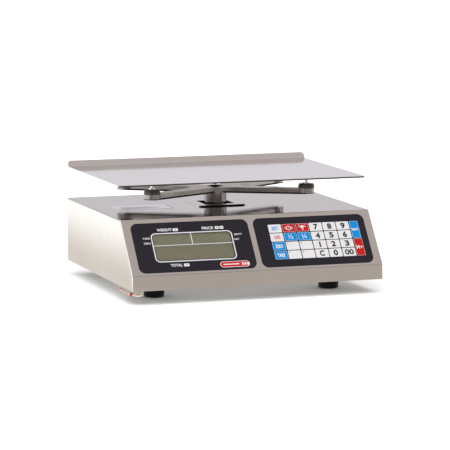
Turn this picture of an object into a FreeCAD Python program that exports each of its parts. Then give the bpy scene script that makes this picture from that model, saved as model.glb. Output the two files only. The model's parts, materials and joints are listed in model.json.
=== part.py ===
"""Retail price scale: a folded stainless housing with a slanted operator panel, a load cell
that carries a cast spider on a round post, a lift-off platter, and four levelling feet.

Frame: origin on the floor under the middle of the scale, +X to the operator's right,
+Y to the back, +Z up. Lengths are in millimetres and angles in degrees.
"""
import FreeCAD, Part
import math
import os
import re

import Sketcher

Vector = FreeCAD.Vector
Placement = FreeCAD.Placement
Rotation = FreeCAD.Rotation

doc = FreeCAD.newDocument("RetailPriceScale")

# ---------------------------------------------------------------- driving sizes
SIZES = {
    # housing
    "case_width": 350.0,
    "case_depth": 312.6,
    "rim_height": 19.2,
    "band_height": 20.3,
    "panel_rise": 67.2,
    "panel_run": 54.3,
    "skin": 1.2,
    "case_bend": 2.0,
    "inner_bend": 0.8,
    "collar_side": 68.0,
    "collar_rise": 1.8,
    "collar_corner": 8.0,
    "post_opening": 42.0,
    "tab_length": 14.0,
    "tab_thick": 1.5,
    "tab_spacing": 128.0,
    # base plate
    "base_under": 20.7,
    "base_thick": 1.5,
    "base_gap": 0.2,
    "cell_bolt_hole": 3.1,
    "stop_hole": 4.0,
    "screw_inset": 8.0,
    "screw_radius": 1.95,
    "screw_long": 6.0,
    "screw_hole": 2.1,
    "screw_head": 3.8,
    "screw_head_tall": 2.2,
    "screw_slot_wide": 1.0,
    "screw_slot_long": 6.0,
    "screw_slot_deep": 1.0,
    # operator panel, measured along the slope from the knee line
    "overlay_thick": 0.6,
    "overlay_foot": 3.6,
    "overlay_tall": 75.8,
    "overlay_corner": 9.0,
    "display_wide": 162.0,
    "display_mid": -82.3,
    "keypad_wide": 157.2,
    "keypad_mid": 85.0,
    "window_wide": 107.6,
    "window_tall": 40.2,
    "window_mid": -82.2,
    "window_foot": 21.2,
    "window_corner": 4.5,
    "window_gap": 0.15,
    "window_clear": 1.0,
    "window_sunk": 0.2,
    # keys
    "key_pitch": 19.25,
    "key_row": 13.8,
    "key_gap": 1.1,
    "key_play": 0.2,
    "key_left": 25.6,
    "key_foot": 13.9,
    "tall_key_pitch": 13.4,
    "key_thick": 2.0,
    "key_proud": 0.3,
    "key_corner": 0.8,
    "key_edge": 0.25,
    "keypad_opening_margin": 1.4,
    # boards
    "board_thick": 1.6,
    "socket_tall": 7.0,
    "socket_deep": 7.0,
    "socket_foot": 4.0,
    "keypad_board_face": -2.3,
    "keypad_board_margin": 3.4,
    "keypad_socket_wide": 28.0,
    "spacer_wall": 2.0,
    "dome_radius": 4.2,
    "dome_rise": 0.6,
    "dome_taper": 0.45,
    "display_board_face": -8.4,
    "display_board_margin": 9.0,
    "display_glass_thick": 4.0,
    "display_glass_margin": 3.0,
    "display_lead_inset": 12.0,
    "display_lead_tall": 1.5,
    "pillar_radius": 2.6,
    "pillar_inset": 3.2,
    # post and spider
    "post_place": 28.0,
    "post_radius": 15.6,
    "post_flange": 17.5,
    "flange_thick": 6.0,
    "bolt_bore": 4.25,
    "bolt_radius": 4.0,
    "hub_under": 125.7,
    "recess_radius": 7.2,
    "recess_deep": 2.6,
    "boss_across": 110.0,
    "boss_along": 63.0,
    "boss_radius": 11.2,
    "boss_under": 123.7,
    "boss_tall": 7.0,
    "arm_tip": 13.0,
    "arm_tall": 5.0,
    "waist_along": 15.0,
    "waist_across": 27.0,
    "waist_blend": 45.0,
    "waist_corner": 9.0,
    "rib_root": 20.0,
    "rib_inset": 1.5,
    "rib_tall": 3.2,
    "bumper_tall": 6.5,
    "bumper_round": 2.4,
    "pin_hole": 2.8,
    # platter
    "platter_width": 349.2,
    "platter_front": 92.2,
    "platter_back": 148.0,
    "platter_top": 150.7,
    "platter_thick": 2.0,
    "lip_reach": 7.8,
    "lip_bend": 3.0,
    "platter_corner": 5.0,
    "pin_radius": 2.0,
    "pin_collar": 4.6,
    "collar_thick": 1.6,
    "pin_reach": 8.0,
    # load cell
    "cell_under": 35.7,
    "cell_tall": 22.0,
    "cell_wide": 40.0,
    "cell_free_end": -20.0,
    "cell_long": 130.0,
    "cell_bore": 8.0,
    "cell_bore_start": 50.0,
    "cell_bore_apart": 30.0,
    "cell_slot_tall": 8.0,
    "cell_thread": 3.05,
    "cell_thread_deep": 13.0,
    "post_thread_deep": 15.0,
    "post_bolt_deep": 12.0,
    "block_long": 36.0,
    "fixing_across": 11.0,
    "cell_bolt_radius": 3.0,
    "cell_bolt_reach": 11.0,
    "cell_bolt_flat": 5.0,
    "cell_bolt_head": 4.0,
    "stop_place": -8.0,
    "stop_gap": 0.8,
    "stop_radius": 3.95,
    "stop_flat": 7.0,
    "stop_nut_tall": 5.0,
    # levelling feet
    "foot_across": 123.4,
    "foot_front": -85.3,
    "foot_back": 115.0,
    "pad_radius": 14.2,
    "pad_foot_radius": 13.4,
    "pad_tall": 13.0,
    "pad_round": 2.5,
    "swivel_radius": 8.0,
    "swivel_play": 0.1,
    "swivel_tall": 2.8,
    "neck_radius": 5.5,
    "pad_lip": 1.2,
    "hex_across": 13.0,
    "thread_radius": 3.95,
    "thread_bore": 4.0,
    "thread_top": 38.7,
    "nut_radius": 7.5,
    "nut_tall": 8.0,
    # main board and battery
    "main_board_rise": 7.0,
    "main_pillar_radius": 3.0,
    "main_pillar_inset": 4.0,
    "main_socket_tall": 8.0,
    "battery_case_tall": 45.0,
    "battery_lid_tall": 3.0,
    "battery_lid_step": 2.0,
    "battery_tab_wide": 6.4,
    "battery_tab_thick": 0.8,
    "battery_tab_tall": 6.0,
    "battery_tab_inset": 16.0,
    "battery_tab_back": 8.0,
    # rear display and power jack
    "rear_wide": 150.0,
    "rear_tall": 48.0,
    "rear_middle": 69.7,
    "rear_window_wide": 108.0,
    "rear_window_tall": 30.0,
    "rear_film_lap": 2.0,
    "rear_glass_gap": 0.3,
    "rear_glass_thick": 4.0,
    "rear_board_wide": 132.0,
    "rear_board_tall": 44.0,
    "rear_pillar_inset": 5.0,
    "rear_pillar_drop": 3.5,
    "rear_socket_wide": 16.0,
    "rear_socket_tall": 6.0,
    "rear_socket_deep": 5.4,
    "rear_socket_drop": 11.0,
    "jack_place": 130.0,
    "jack_middle": 43.7,
    "jack_radius": 3.2,
    "jack_body": 11.0,
    "jack_deep": 12.0,
    "jack_flange": 8.0,
    "jack_flange_thick": 1.5,
    "jack_pin": 1.0,
}

sheet = doc.addObject("Spreadsheet::Sheet", "Sizes")
for row, (alias, number) in enumerate(SIZES.items(), start=1):
    sheet.set(f"A{row}", alias.replace("_", " "))
    sheet.set(f"B{row}", str(number))
    sheet.setAlias(f"B{row}", alias)
doc.recompute()


def size(alias):
    """The number that the sheet holds under an alias."""
    return float(sheet.get(alias))


def linked(expression):
    """The same expression with each alias named in the sheet."""
    return re.sub(
        r"\b[a-z_]+\b",
        lambda word: f"Sizes.{word[0]}" if word[0] in SIZES else word[0],
        str(expression),
    )


def bind(obj, prop, expression):
    obj.setExpression(prop, linked(expression))


# ---------------------------------------------------------------- frames
CASE_FRONT = "-case_depth / 2"
CASE_TOP = "(rim_height + band_height + panel_rise)"
BASE_TOP = "(base_under + base_thick)"
PANEL_ANGLE = math.degrees(math.atan2(size("panel_rise"), size("panel_run")))
KNEE = Vector(0, -size("case_depth") / 2, size("rim_height") + size("band_height"))
# On the panel, X runs to the right, Y up the slope and Z out of the panel.
PANEL = Placement(KNEE, Rotation(Vector(1, 0, 0), PANEL_ANGLE))
# Turns a cylinder's axis from +Z to -Y.
TO_FRONT = (Vector(1, 0, 0), 90)

nodes = {}


def keep(name, obj, placement=None):
    """Names a finished sub-part."""
    obj.Label = name
    if placement is not None:
        obj.Placement = placement
    nodes[name] = obj
    return obj


# ---------------------------------------------------------------- part primitives
def put(obj, x=0, y=0, z=0, turn=None):
    """Places a primitive at bound coordinates, turned by (axis, angle)."""
    if turn:
        obj.Placement = Placement(Vector(), Rotation(*turn))
    for letter, place in (("x", x), ("y", y), ("z", z)):
        bind(obj, f"Placement.Base.{letter}", place)
    return obj


def box(name, span_x, span_y, span_z):
    """A box between (low, high) expressions along each axis."""
    obj = doc.addObject("Part::Box", name)
    spans = (span_x, span_y, span_z)
    for prop, (low, high) in zip(("Length", "Width", "Height"), spans):
        bind(obj, prop, f"({high}) - ({low})")
    return put(obj, *(low for low, high in spans))


def cylinder(name, radius, tall, x=0, y=0, z=0, turn=None):
    obj = doc.addObject("Part::Cylinder", name)
    bind(obj, "Radius", radius)
    bind(obj, "Height", tall)
    return put(obj, x, y, z, turn)


def fuse(name, shapes):
    if len(shapes) == 1:
        return shapes[0]
    obj = doc.addObject("Part::MultiFuse", name)
    obj.Shapes = shapes
    return obj


def cut(name, base, *tools):
    obj = doc.addObject("Part::Cut", name)
    obj.Base = base
    obj.Tool = fuse(f"{name}_tools", list(tools))
    return obj


def group(name, pieces):
    """Several separate solids kept as one sub-part."""
    obj = doc.addObject("Part::Compound", name)
    obj.Links = pieces
    return obj


def edge_names(shape, wanted):
    """The names of the edges for which wanted(middle, direction) holds."""
    found = []
    for number, edge in enumerate(shape.Edges, start=1):
        first, last = edge.Vertexes[0].Point, edge.Vertexes[-1].Point
        if wanted((first + last) * 0.5, last - first):
            found.append(f"Edge{number}")
    return found


def rounded(name, base, radius, wanted):
    """A Part::Fillet of the chosen edges."""
    doc.recompute()
    obj = doc.addObject("Part::Fillet", name)
    obj.Base = base
    chosen = edge_names(base.Shape, wanted)
    obj.Edges = [(int(edge[4:]), size(radius), size(radius)) for edge in chosen]
    return obj


def upright(middle, along):
    """True for an edge along Z."""
    return abs(along.z) > 0.01 and abs(along.x) + abs(along.y) < 0.01


# ---------------------------------------------------------------- part design
def new_sketch(body, name, role):
    plane = next(f for f in body.Origin.OriginFeatures if f.Role == role)
    sketch = body.newObject("Sketcher::SketchObject", name)
    sketch.AttachmentSupport = (plane, [""])
    sketch.MapMode = "FlatFace"
    return sketch


def pin_point(sketch, line, point, place):
    """Holds one end of a line at bound distances from the sketch's origin."""
    for kind, expression in zip(("DistanceX", "DistanceY"), place):
        index = sketch.addConstraint(
            Sketcher.Constraint(kind, -1, 1, line, point, 1.0)
        )
        bind(sketch, f"Constraints[{index}]", expression)


def outline(sketch, corners):
    """A closed outline through corners, each an (x, y) pair of expressions."""
    count = len(corners)
    first = sketch.GeometryCount
    ring = [
        Vector(math.cos(math.tau * step / count), math.sin(math.tau * step / count), 0)
        for step in range(count)
    ]
    for step in range(count):
        sketch.addGeometry(Part.LineSegment(ring[step], ring[(step + 1) % count]))
    for step in range(count):
        after = first + (step + 1) % count
        sketch.addConstraint(Sketcher.Constraint("Coincident", first + step, 2, after, 1))
    for step, place in enumerate(corners):
        pin_point(sketch, first + step, 1, place)


def rectangle(sketch, low_x, high_x, low_y, high_y):
    outline(sketch, [(low_x, low_y), (high_x, low_y), (high_x, high_y), (low_x, high_y)])


def pad_up(body, sketch, length, midplane=False, down=False):
    pad = body.newObject("PartDesign::Pad", f"{sketch.Name}_pad")
    pad.Profile = sketch
    bind(pad, "Length", length)
    pad.Midplane = midplane
    pad.Reversed = down
    sketch.Visibility = False
    doc.recompute()
    return pad


def round_edges(body, base, radius, wanted):
    fillet = body.newObject("PartDesign::Fillet", f"{base.Name}_round")
    fillet.Base = (base, edge_names(base.Shape, wanted))
    bind(fillet, "Radius", radius)
    doc.recompute()
    return fillet


def rounded_plate(name, low_x, high_x, low_y, high_y, thick, corner, down=False):
    """A body that is a plate on the XY plane with round corners."""
    body = doc.addObject("PartDesign::Body", name)
    sketch = new_sketch(body, f"{name}_outline", "XY_Plane")
    rectangle(sketch, low_x, high_x, low_y, high_y)
    pad = pad_up(body, sketch, thick, down=down)
    round_edges(body, pad, corner, upright)
    return body


def turned(name, profile):
    """A body turned about Z from (radius, height) corners."""
    body = doc.addObject("PartDesign::Body", name)
    sketch = new_sketch(body, f"{name}_profile", "XZ_Plane")
    outline(sketch, profile)
    turn = body.newObject("PartDesign::Revolution", f"{name}_turn")
    turn.Profile = sketch
    turn.ReferenceAxis = (sketch, ["V_Axis"])
    turn.Angle = 360
    sketch.Visibility = False
    doc.recompute()
    return body


# ---------------------------------------------------------------- top cover
KEY_COLUMNS = 6
KEY_ROWS = 4
KEY_BLOCK_RIGHT = f"key_left + {KEY_COLUMNS} * key_pitch + tall_key_pitch"
KEY_BLOCK_TOP = f"key_foot + {KEY_ROWS} * key_row"
SIDES = (-1, 1)
SCREW_STEPS = (-1, 0, 1)


def window_span(margin):
    """The display window's four limits on the panel, grown by a margin."""
    return (
        f"window_mid - window_wide / 2 - {margin}",
        f"window_mid + window_wide / 2 + {margin}",
        f"window_foot - {margin}",
        f"window_foot + window_tall + {margin}",
    )


def skin_distances(point):
    """How far a point lies inside each outer plane of the housing."""
    top = size("rim_height") + size("band_height") + size("panel_rise")
    return [
        size("case_width") / 2 - abs(point.x),
        size("case_depth") / 2 - abs(point.y),
        top - point.z,
        -PANEL.inverse().multVec(point).z,
    ]


def below_skin(point):
    return min(skin_distances(point))


def is_corner(point):
    """True where two walls meet at the depth of the nearest one."""
    near = below_skin(point)
    return sum(abs(distance - near) < 0.01 for distance in skin_distances(point)) >= 2


def make_top_cover():
    body = doc.addObject("PartDesign::Body", "housing_shell")
    sketch = new_sketch(body, "housing_side", "YZ_Plane")
    outline(sketch, [
        (CASE_FRONT, "rim_height"),
        ("case_depth / 2", "rim_height"),
        ("case_depth / 2", CASE_TOP),
        (f"{CASE_FRONT} + panel_run", CASE_TOP),
        (CASE_FRONT, "rim_height + band_height"),
    ])
    block = pad_up(body, sketch, "case_width", midplane=True)
    shell = body.newObject("PartDesign::Thickness", "housing_hollow")
    open_side = min(enumerate(block.Shape.Faces, start=1), key=lambda f: f[1].CenterOfMass.z)
    shell.Base = (block, [f"Face{open_side[0]}"])
    bind(shell, "Value", "skin")
    shell.Reversed = True
    doc.recompute()
    rim = size("rim_height") + 0.1
    bends = round_edges(
        body, shell, "case_bend", lambda middle, along: middle.z > rim and below_skin(middle) < 0.01
    )
    round_edges(
        body, bends, "inner_bend",
        lambda middle, along: middle.z > rim and abs(below_skin(middle) - size("skin")) < 0.01
        and is_corner(middle),
    )

    # raised collar round the post opening
    half = "collar_side / 2"
    collar = rounded("collar_outside", box(
        "collar_block",
        (f"-{half}", half),
        (f"post_place - {half}", f"post_place + {half}"),
        (f"{CASE_TOP} - skin", f"{CASE_TOP} + collar_rise"),
    ), "collar_corner", upright)
    inner = f"({half} - skin)"
    pocket = box(
        "collar_inside",
        (f"-{inner}", inner),
        (f"post_place - {inner}", f"post_place + {inner}"),
        (f"{CASE_TOP} - 2 * skin", f"{CASE_TOP} + collar_rise - skin"),
    )
    pocket = rounded("collar_inside_round", pocket, "collar_corner", upright)
    opening = box(
        "post_hole",
        ("-post_opening / 2", "post_opening / 2"),
        ("post_place - post_opening / 2", "post_place + post_opening / 2"),
        (f"{CASE_TOP} - 2 * skin", f"{CASE_TOP} + collar_rise + skin"),
    )
    opening = rounded("post_hole_round", opening, "case_bend", upright)

    # tabs for the cover screws
    tabs, tab_holes = [], []
    for side in SIDES:
        for step in SCREW_STEPS:
            low, high = "case_width / 2 - skin - tab_length", "case_width / 2 - skin / 2"
            across = (low, high) if side > 0 else (f"-({high})", f"-({low})")
            middle = f"{step} * tab_spacing"
            name = f"tab_{'left' if side < 0 else 'right'}_{step + 1}"
            tabs.append(box(
                name,
                across,
                (f"{middle} - tab_length / 2", f"{middle} + tab_length / 2"),
                (BASE_TOP, f"{BASE_TOP} + tab_thick"),
            ))
            tab_holes.append(cylinder(
                f"{name}_hole", "screw_hole - 0.1", "tab_thick * 3",
                f"{side} * (case_width / 2 - skin - screw_inset)", middle,
                f"{BASE_TOP} - tab_thick",
            ))

    # openings in the slanted panel
    window = box(
        "cover_window",
        window_span("window_clear")[:2],
        window_span("window_clear")[2:],
        ("-2 * skin", "skin"),
    )
    margin = "keypad_opening_margin"
    key_opening = box(
        "cover_key_opening",
        (f"key_left - {margin}", f"{KEY_BLOCK_RIGHT} + {margin}"),
        (f"key_foot - {margin}", f"{KEY_BLOCK_TOP} + {margin}"),
        ("-2 * skin", "skin"),
    )
    panel_holes = group("panel_holes", [window, key_opening])
    panel_holes.Placement = PANEL

    # openings in the rear wall
    rear_window = box(
        "cover_rear_window",
        ("-rear_window_wide / 2", "rear_window_wide / 2"),
        ("case_depth / 2 - 2 * skin", "case_depth / 2 + skin"),
        ("rear_middle - rear_window_tall / 2", "rear_middle + rear_window_tall / 2"),
    )
    jack_hole = cylinder(
        "cover_jack_hole", "jack_body / 2 + 0.1", "4 * skin",
        "jack_place", "case_depth / 2 + skin", "jack_middle", TO_FRONT,
    )
    solid = fuse("cover_metal", [body, collar, *tabs])
    return keep("top_cover", cut(
        "top_cover", solid,
        pocket, opening, *tab_holes, panel_holes, rear_window, jack_hole,
    ))


# ---------------------------------------------------------------- base plate and screws
FEET = {
    "front_left": ("-foot_across", "foot_front"),
    "front_right": ("foot_across", "foot_front"),
    "rear_left": ("-foot_across", "foot_back"),
    "rear_right": ("foot_across", "foot_back"),
}
CELL_BOLT_PLACES = [
    ("cell_free_end + cell_long - block_long / 2", f"post_place + {side} * fixing_across")
    for side in SIDES
]
STOP_PLACES = [("stop_place", f"post_place + {side} * fixing_across") for side in SIDES]


def screw_places():
    for side in SIDES:
        for step in SCREW_STEPS:
            yield (
                f"{side} * (case_width / 2 - skin - screw_inset)",
                f"{step} * tab_spacing",
            )


def make_base_plate():
    half_x = "(case_width / 2 - skin - base_gap)"
    half_y = "(case_depth / 2 - skin - base_gap)"
    plate = rounded_plate(
        "base_sheet", f"-{half_x}", half_x, f"-{half_y}", half_y, "base_thick", "case_bend"
    )
    put(plate, z="base_under")
    collars = [
        cylinder(f"{foot}_collar", "nut_radius", "nut_tall", *place, BASE_TOP)
        for foot, place in FEET.items()
    ]
    bores = [
        cylinder(f"{foot}_bore", "thread_bore", "nut_tall * 3", *place, "base_under - nut_tall")
        for foot, place in FEET.items()
    ]
    holes = [("screw_hole", place) for place in screw_places()]
    holes += [("cell_bolt_hole", place) for place in CELL_BOLT_PLACES]
    holes += [("stop_hole", place) for place in STOP_PLACES]
    drilled = [
        cylinder(f"base_hole_{number}", radius, "base_thick * 3", *place, "base_under - base_thick")
        for number, (radius, place) in enumerate(holes)
    ]
    metal = fuse("base_metal", [plate, *collars])
    return keep("base_plate", cut("base_plate", metal, *bores, *drilled))


def make_cover_screws():
    head_under = "base_under - screw_head_tall"
    screws = []
    for number, place in enumerate(screw_places()):
        shank = cylinder(f"screw_shank_{number}", "screw_radius", "screw_long", *place, "base_under")
        head = cylinder(f"screw_head_{number}", "screw_head", "screw_head_tall",
                        *place, head_under)
        slot = box(
            f"screw_slot_{number}",
            (f"{place[0]} - screw_slot_wide / 2", f"{place[0]} + screw_slot_wide / 2"),
            (f"{place[1]} - screw_slot_long / 2", f"{place[1]} + screw_slot_long / 2"),
            (head_under, f"{head_under} + screw_slot_deep"),
        )
        screws.append(cut(f"screw_{number}", fuse(f"screw_body_{number}", [shank, head]), slot))
    return keep("cover_screws", group("cover_screws", screws))


# ---------------------------------------------------------------- operator panel
def key_layout():
    """Each key's name and its limits on the panel: left, right, foot and top."""
    names = [
        ("weigh_mode", "power", "light", "seven", "eight", "nine"),
        ("change", "half", "quarter", "four", "five", "six"),
        ("zero_mode", "preset_one", "preset_two", "one", "two", "three"),
        ("tare", "preset_three", "preset_four", "clear", "zero", "double_zero"),
    ]
    half_gap = "key_gap / 2"
    for row, row_names in enumerate(names):
        foot = f"key_foot + {KEY_ROWS - 1 - row} * key_row"
        for column, name in enumerate(row_names):
            left = f"key_left + {column} * key_pitch"
            yield (
                f"key_{name}",
                f"{left} + {half_gap}", f"{left} + key_pitch - {half_gap}",
                f"{foot} + {half_gap}", f"{foot} + key_row - {half_gap}",
            )
    left = f"key_left + {KEY_COLUMNS} * key_pitch"
    upper_foot = f"key_foot + {KEY_ROWS // 2} * key_row"
    for name, foot in (("key_print", upper_foot), ("key_total", "key_foot")):
        yield (
            name,
            f"{left} + {half_gap}", f"{left} + tall_key_pitch - {half_gap}",
            f"{foot} + {half_gap}", f"{foot} + {KEY_ROWS // 2} * key_row - {half_gap}",
        )


def overlay(name, middle, wide):
    """A printed overlay's blank on the panel."""
    return rounded_plate(
        name,
        f"{middle} - {wide} / 2", f"{middle} + {wide} / 2",
        "overlay_foot", "overlay_foot + overlay_tall",
        "overlay_thick", "overlay_corner",
    )


def make_display():
    blank = overlay("display_film", "display_mid", "display_wide")
    hole = rounded_plate("display_film_hole", *window_span("0"), "overlay_thick * 3", "window_corner")
    put(hole, z="-overlay_thick")
    keep("display_overlay", cut("display_overlay", blank, hole), PANEL)

    lens = rounded_plate(
        "display_window", *window_span("-window_gap"), "skin + overlay_thick - window_sunk", "window_corner"
    )
    lens.Placement = PANEL * Placement(Vector(0, 0, -size("skin")), Rotation())
    keep("display_window", lens)

    low_x, high_x, low_y, high_y = window_span("display_glass_margin")
    glass = box("lcd_front", (low_x, high_x), (low_y, high_y), ("-skin - display_glass_thick", "-skin"))
    keep("lcd_front", group("lcd_front", [glass]), PANEL)

    # board behind the glass, on four pillars, with its connector and two chips
    low_x, high_x, low_y, high_y = window_span("display_board_margin")
    face = "display_board_face"
    board = box("display_pcb", (low_x, high_x), (low_y, high_y), (f"{face} - board_thick", face))
    pillars = [
        cylinder(f"display_pillar_{x_name}_{y_name}", "pillar_radius", f"-skin - {face}", x, y, face)
        for x_name, x in (("left", f"{low_x} + pillar_inset"), ("right", f"{high_x} - pillar_inset"))
        for y_name, y in (("low", f"{low_y} + pillar_inset"), ("high", f"{high_y} - pillar_inset"))
    ]
    parts = [
        box("display_socket", ("window_mid + 20", "window_mid + 44"),
            ("window_foot + socket_foot", "window_foot + socket_foot + socket_tall"),
            (f"{face} - board_thick - socket_deep", f"{face} - board_thick")),
        box("display_chip", ("window_mid - 30", "window_mid - 12"),
            ("window_foot + 12", "window_foot + 26"),
            (f"{face} - board_thick - 2.4", f"{face} - board_thick")),
    ]
    leads = [
        box(f"display_leads_{side}",
            (f"{low_x} + display_lead_inset", f"{high_x} - display_lead_inset"),
            (low, f"{low} + display_lead_tall"), (face, "-skin - display_glass_thick"))
        for side, low in (
            ("low", "window_foot - display_lead_tall - 0.5"),
            ("high", "window_foot + window_tall + 0.5"),
        )
    ]
    keep("display_board", fuse("display_board", [board, *pillars, *parts, *leads]), PANEL)


def make_keypad():
    blank = overlay("keypad_film", "keypad_mid", "keypad_wide")
    margin = "key_play"
    windows = [
        box(f"{name}_window", (f"{left} - {margin}", f"{right} + {margin}"),
            (f"{foot} - {margin}", f"{top} + {margin}"), ("-overlay_thick", "overlay_thick * 2"))
        for name, left, right, foot, top in key_layout()
    ]
    keep("keypad_overlay", cut("keypad_overlay", blank, *windows), PANEL)

    depth = size("overlay_thick") + size("key_proud") - size("key_thick")
    key_frame = PANEL * Placement(Vector(0, 0, depth), Rotation())
    crown = size("key_thick") - 0.01
    for name, left, right, foot, top in key_layout():
        body = rounded_plate(name, left, right, foot, top, "key_thick", "key_corner")
        round_edges(body, body.Tip, "key_edge", lambda middle, along: middle.z > crown)
        keep(name, body, key_frame)

    face = "keypad_board_face"
    margin = "keypad_board_margin"
    low_x, high_x = f"key_left - {margin}", f"{KEY_BLOCK_RIGHT} + {margin}"
    low_y, high_y = f"key_foot - {margin}", f"{KEY_BLOCK_TOP} + {margin}"
    board = box("keypad_pcb", (low_x, high_x), (low_y, high_y), (f"{face} - board_thick", face))
    frame = cut(
        "keypad_spacer",
        box("keypad_spacer_blank", (low_x, high_x), (low_y, high_y), (face, "-skin")),
        box("keypad_spacer_hole", (f"{low_x} + spacer_wall", f"{high_x} - spacer_wall"),
            (f"{low_y} + spacer_wall", f"{high_y} - spacer_wall"), (f"{face} - 1", "skin")),
    )
    socket = box(
        "keypad_socket",
        ("keypad_mid - keypad_socket_wide / 2", "keypad_mid + keypad_socket_wide / 2"),
        ("key_foot + socket_foot", "key_foot + socket_foot + socket_tall"),
        (f"{face} - board_thick - socket_deep", f"{face} - board_thick"),
    )
    keep("keypad_board", fuse("keypad_board", [board, frame, socket]), PANEL)

    domes = []
    for name, left, right, foot, top in key_layout():
        dome = doc.addObject("Part::Cone", f"{name}_dome")
        bind(dome, "Radius1", "dome_radius")
        bind(dome, "Radius2", "dome_radius * dome_taper")
        bind(dome, "Height", "dome_rise")
        put(dome, f"({left} + {right}) / 2", f"({foot} + {top}) / 2", face)
        domes.append(dome)
    keep("switch_domes", group("switch_domes", domes), PANEL)


# ---------------------------------------------------------------- rear display and power jack
def make_rear_display():
    back = "case_depth / 2"
    half_wide, half_tall = "rear_wide / 2", "rear_tall / 2"
    window_half = "rear_window_wide / 2"
    window_low = "rear_middle - rear_window_tall / 2"
    window_high = "rear_middle + rear_window_tall / 2"
    board_face = f"{back} - rear_glass_thick"
    board_back = f"{board_face} - board_thick"
    film = rounded("rear_film_round", box(
        "rear_film", (f"-{half_wide}", half_wide), (back, f"{back} + overlay_thick"),
        (f"rear_middle - {half_tall}", f"rear_middle + {half_tall}"),
    ), "window_corner", lambda middle, along: abs(along.y) > 0.01)
    hole = box(
        "rear_film_hole",
        (f"-{window_half} + rear_film_lap", f"{window_half} - rear_film_lap"),
        (f"{back} - 1", f"{back} + 2"),
        (f"{window_low} + rear_film_lap", f"{window_high} - rear_film_lap"),
    )
    keep("rear_overlay", cut("rear_overlay", film, hole))

    glass = box(
        "rear_glass",
        (f"-{window_half} + rear_glass_gap", f"{window_half} - rear_glass_gap"),
        (board_face, back),
        (f"{window_low} + rear_glass_gap", f"{window_high} - rear_glass_gap"),
    )
    board = box(
        "rear_pcb", ("-rear_board_wide / 2", "rear_board_wide / 2"), (board_back, board_face),
        ("rear_middle - rear_board_tall / 2", "rear_middle + rear_board_tall / 2"),
    )
    pillars = [
        cylinder(f"rear_pillar_{x}_{z}", "pillar_radius", "rear_glass_thick - skin",
                 f"{x} * (rear_board_wide / 2 - rear_pillar_inset)", f"{back} - skin",
                 f"rear_middle + {z} * (rear_board_tall / 2 - rear_pillar_drop)", TO_FRONT)
        for x in SIDES for z in SIDES
    ]
    socket_high = "rear_middle - rear_socket_drop"
    socket = box("rear_socket", ("-rear_socket_wide / 2", "rear_socket_wide / 2"),
                 (f"{board_back} - rear_socket_deep", board_back),
                 (f"{socket_high} - rear_socket_tall", socket_high))
    keep("lcd_rear", fuse("lcd_rear", [glass, board, *pillars, socket]))


def make_power_jack():
    back = "case_depth / 2"
    mouth = f"{back} + jack_flange_thick"
    barrel = cylinder("jack_barrel", "jack_body / 2", "jack_deep + jack_flange_thick",
                      "jack_place", mouth, "jack_middle", TO_FRONT)
    flange = cylinder("jack_face", "jack_flange", "jack_flange_thick",
                      "jack_place", mouth, "jack_middle", TO_FRONT)
    socket = cylinder("jack_socket", "jack_radius", "jack_deep - 1",
                      "jack_place", f"{mouth} + 0.1", "jack_middle", TO_FRONT)
    pin = cylinder("jack_pin", "jack_pin", "jack_deep - 0.5",
                   "jack_place", f"{back} + 0.5", "jack_middle", TO_FRONT)
    shell = cut("jack_shell", fuse("jack_metal", [barrel, flange]), socket)
    keep("power_jack", fuse("power_jack", [shell, pin]))


# ---------------------------------------------------------------- load cell and its fixings
CELL_TOP = "(cell_under + cell_tall)"
CELL_LOW_Y, CELL_HIGH_Y = "post_place - cell_wide / 2", "post_place + cell_wide / 2"


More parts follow.
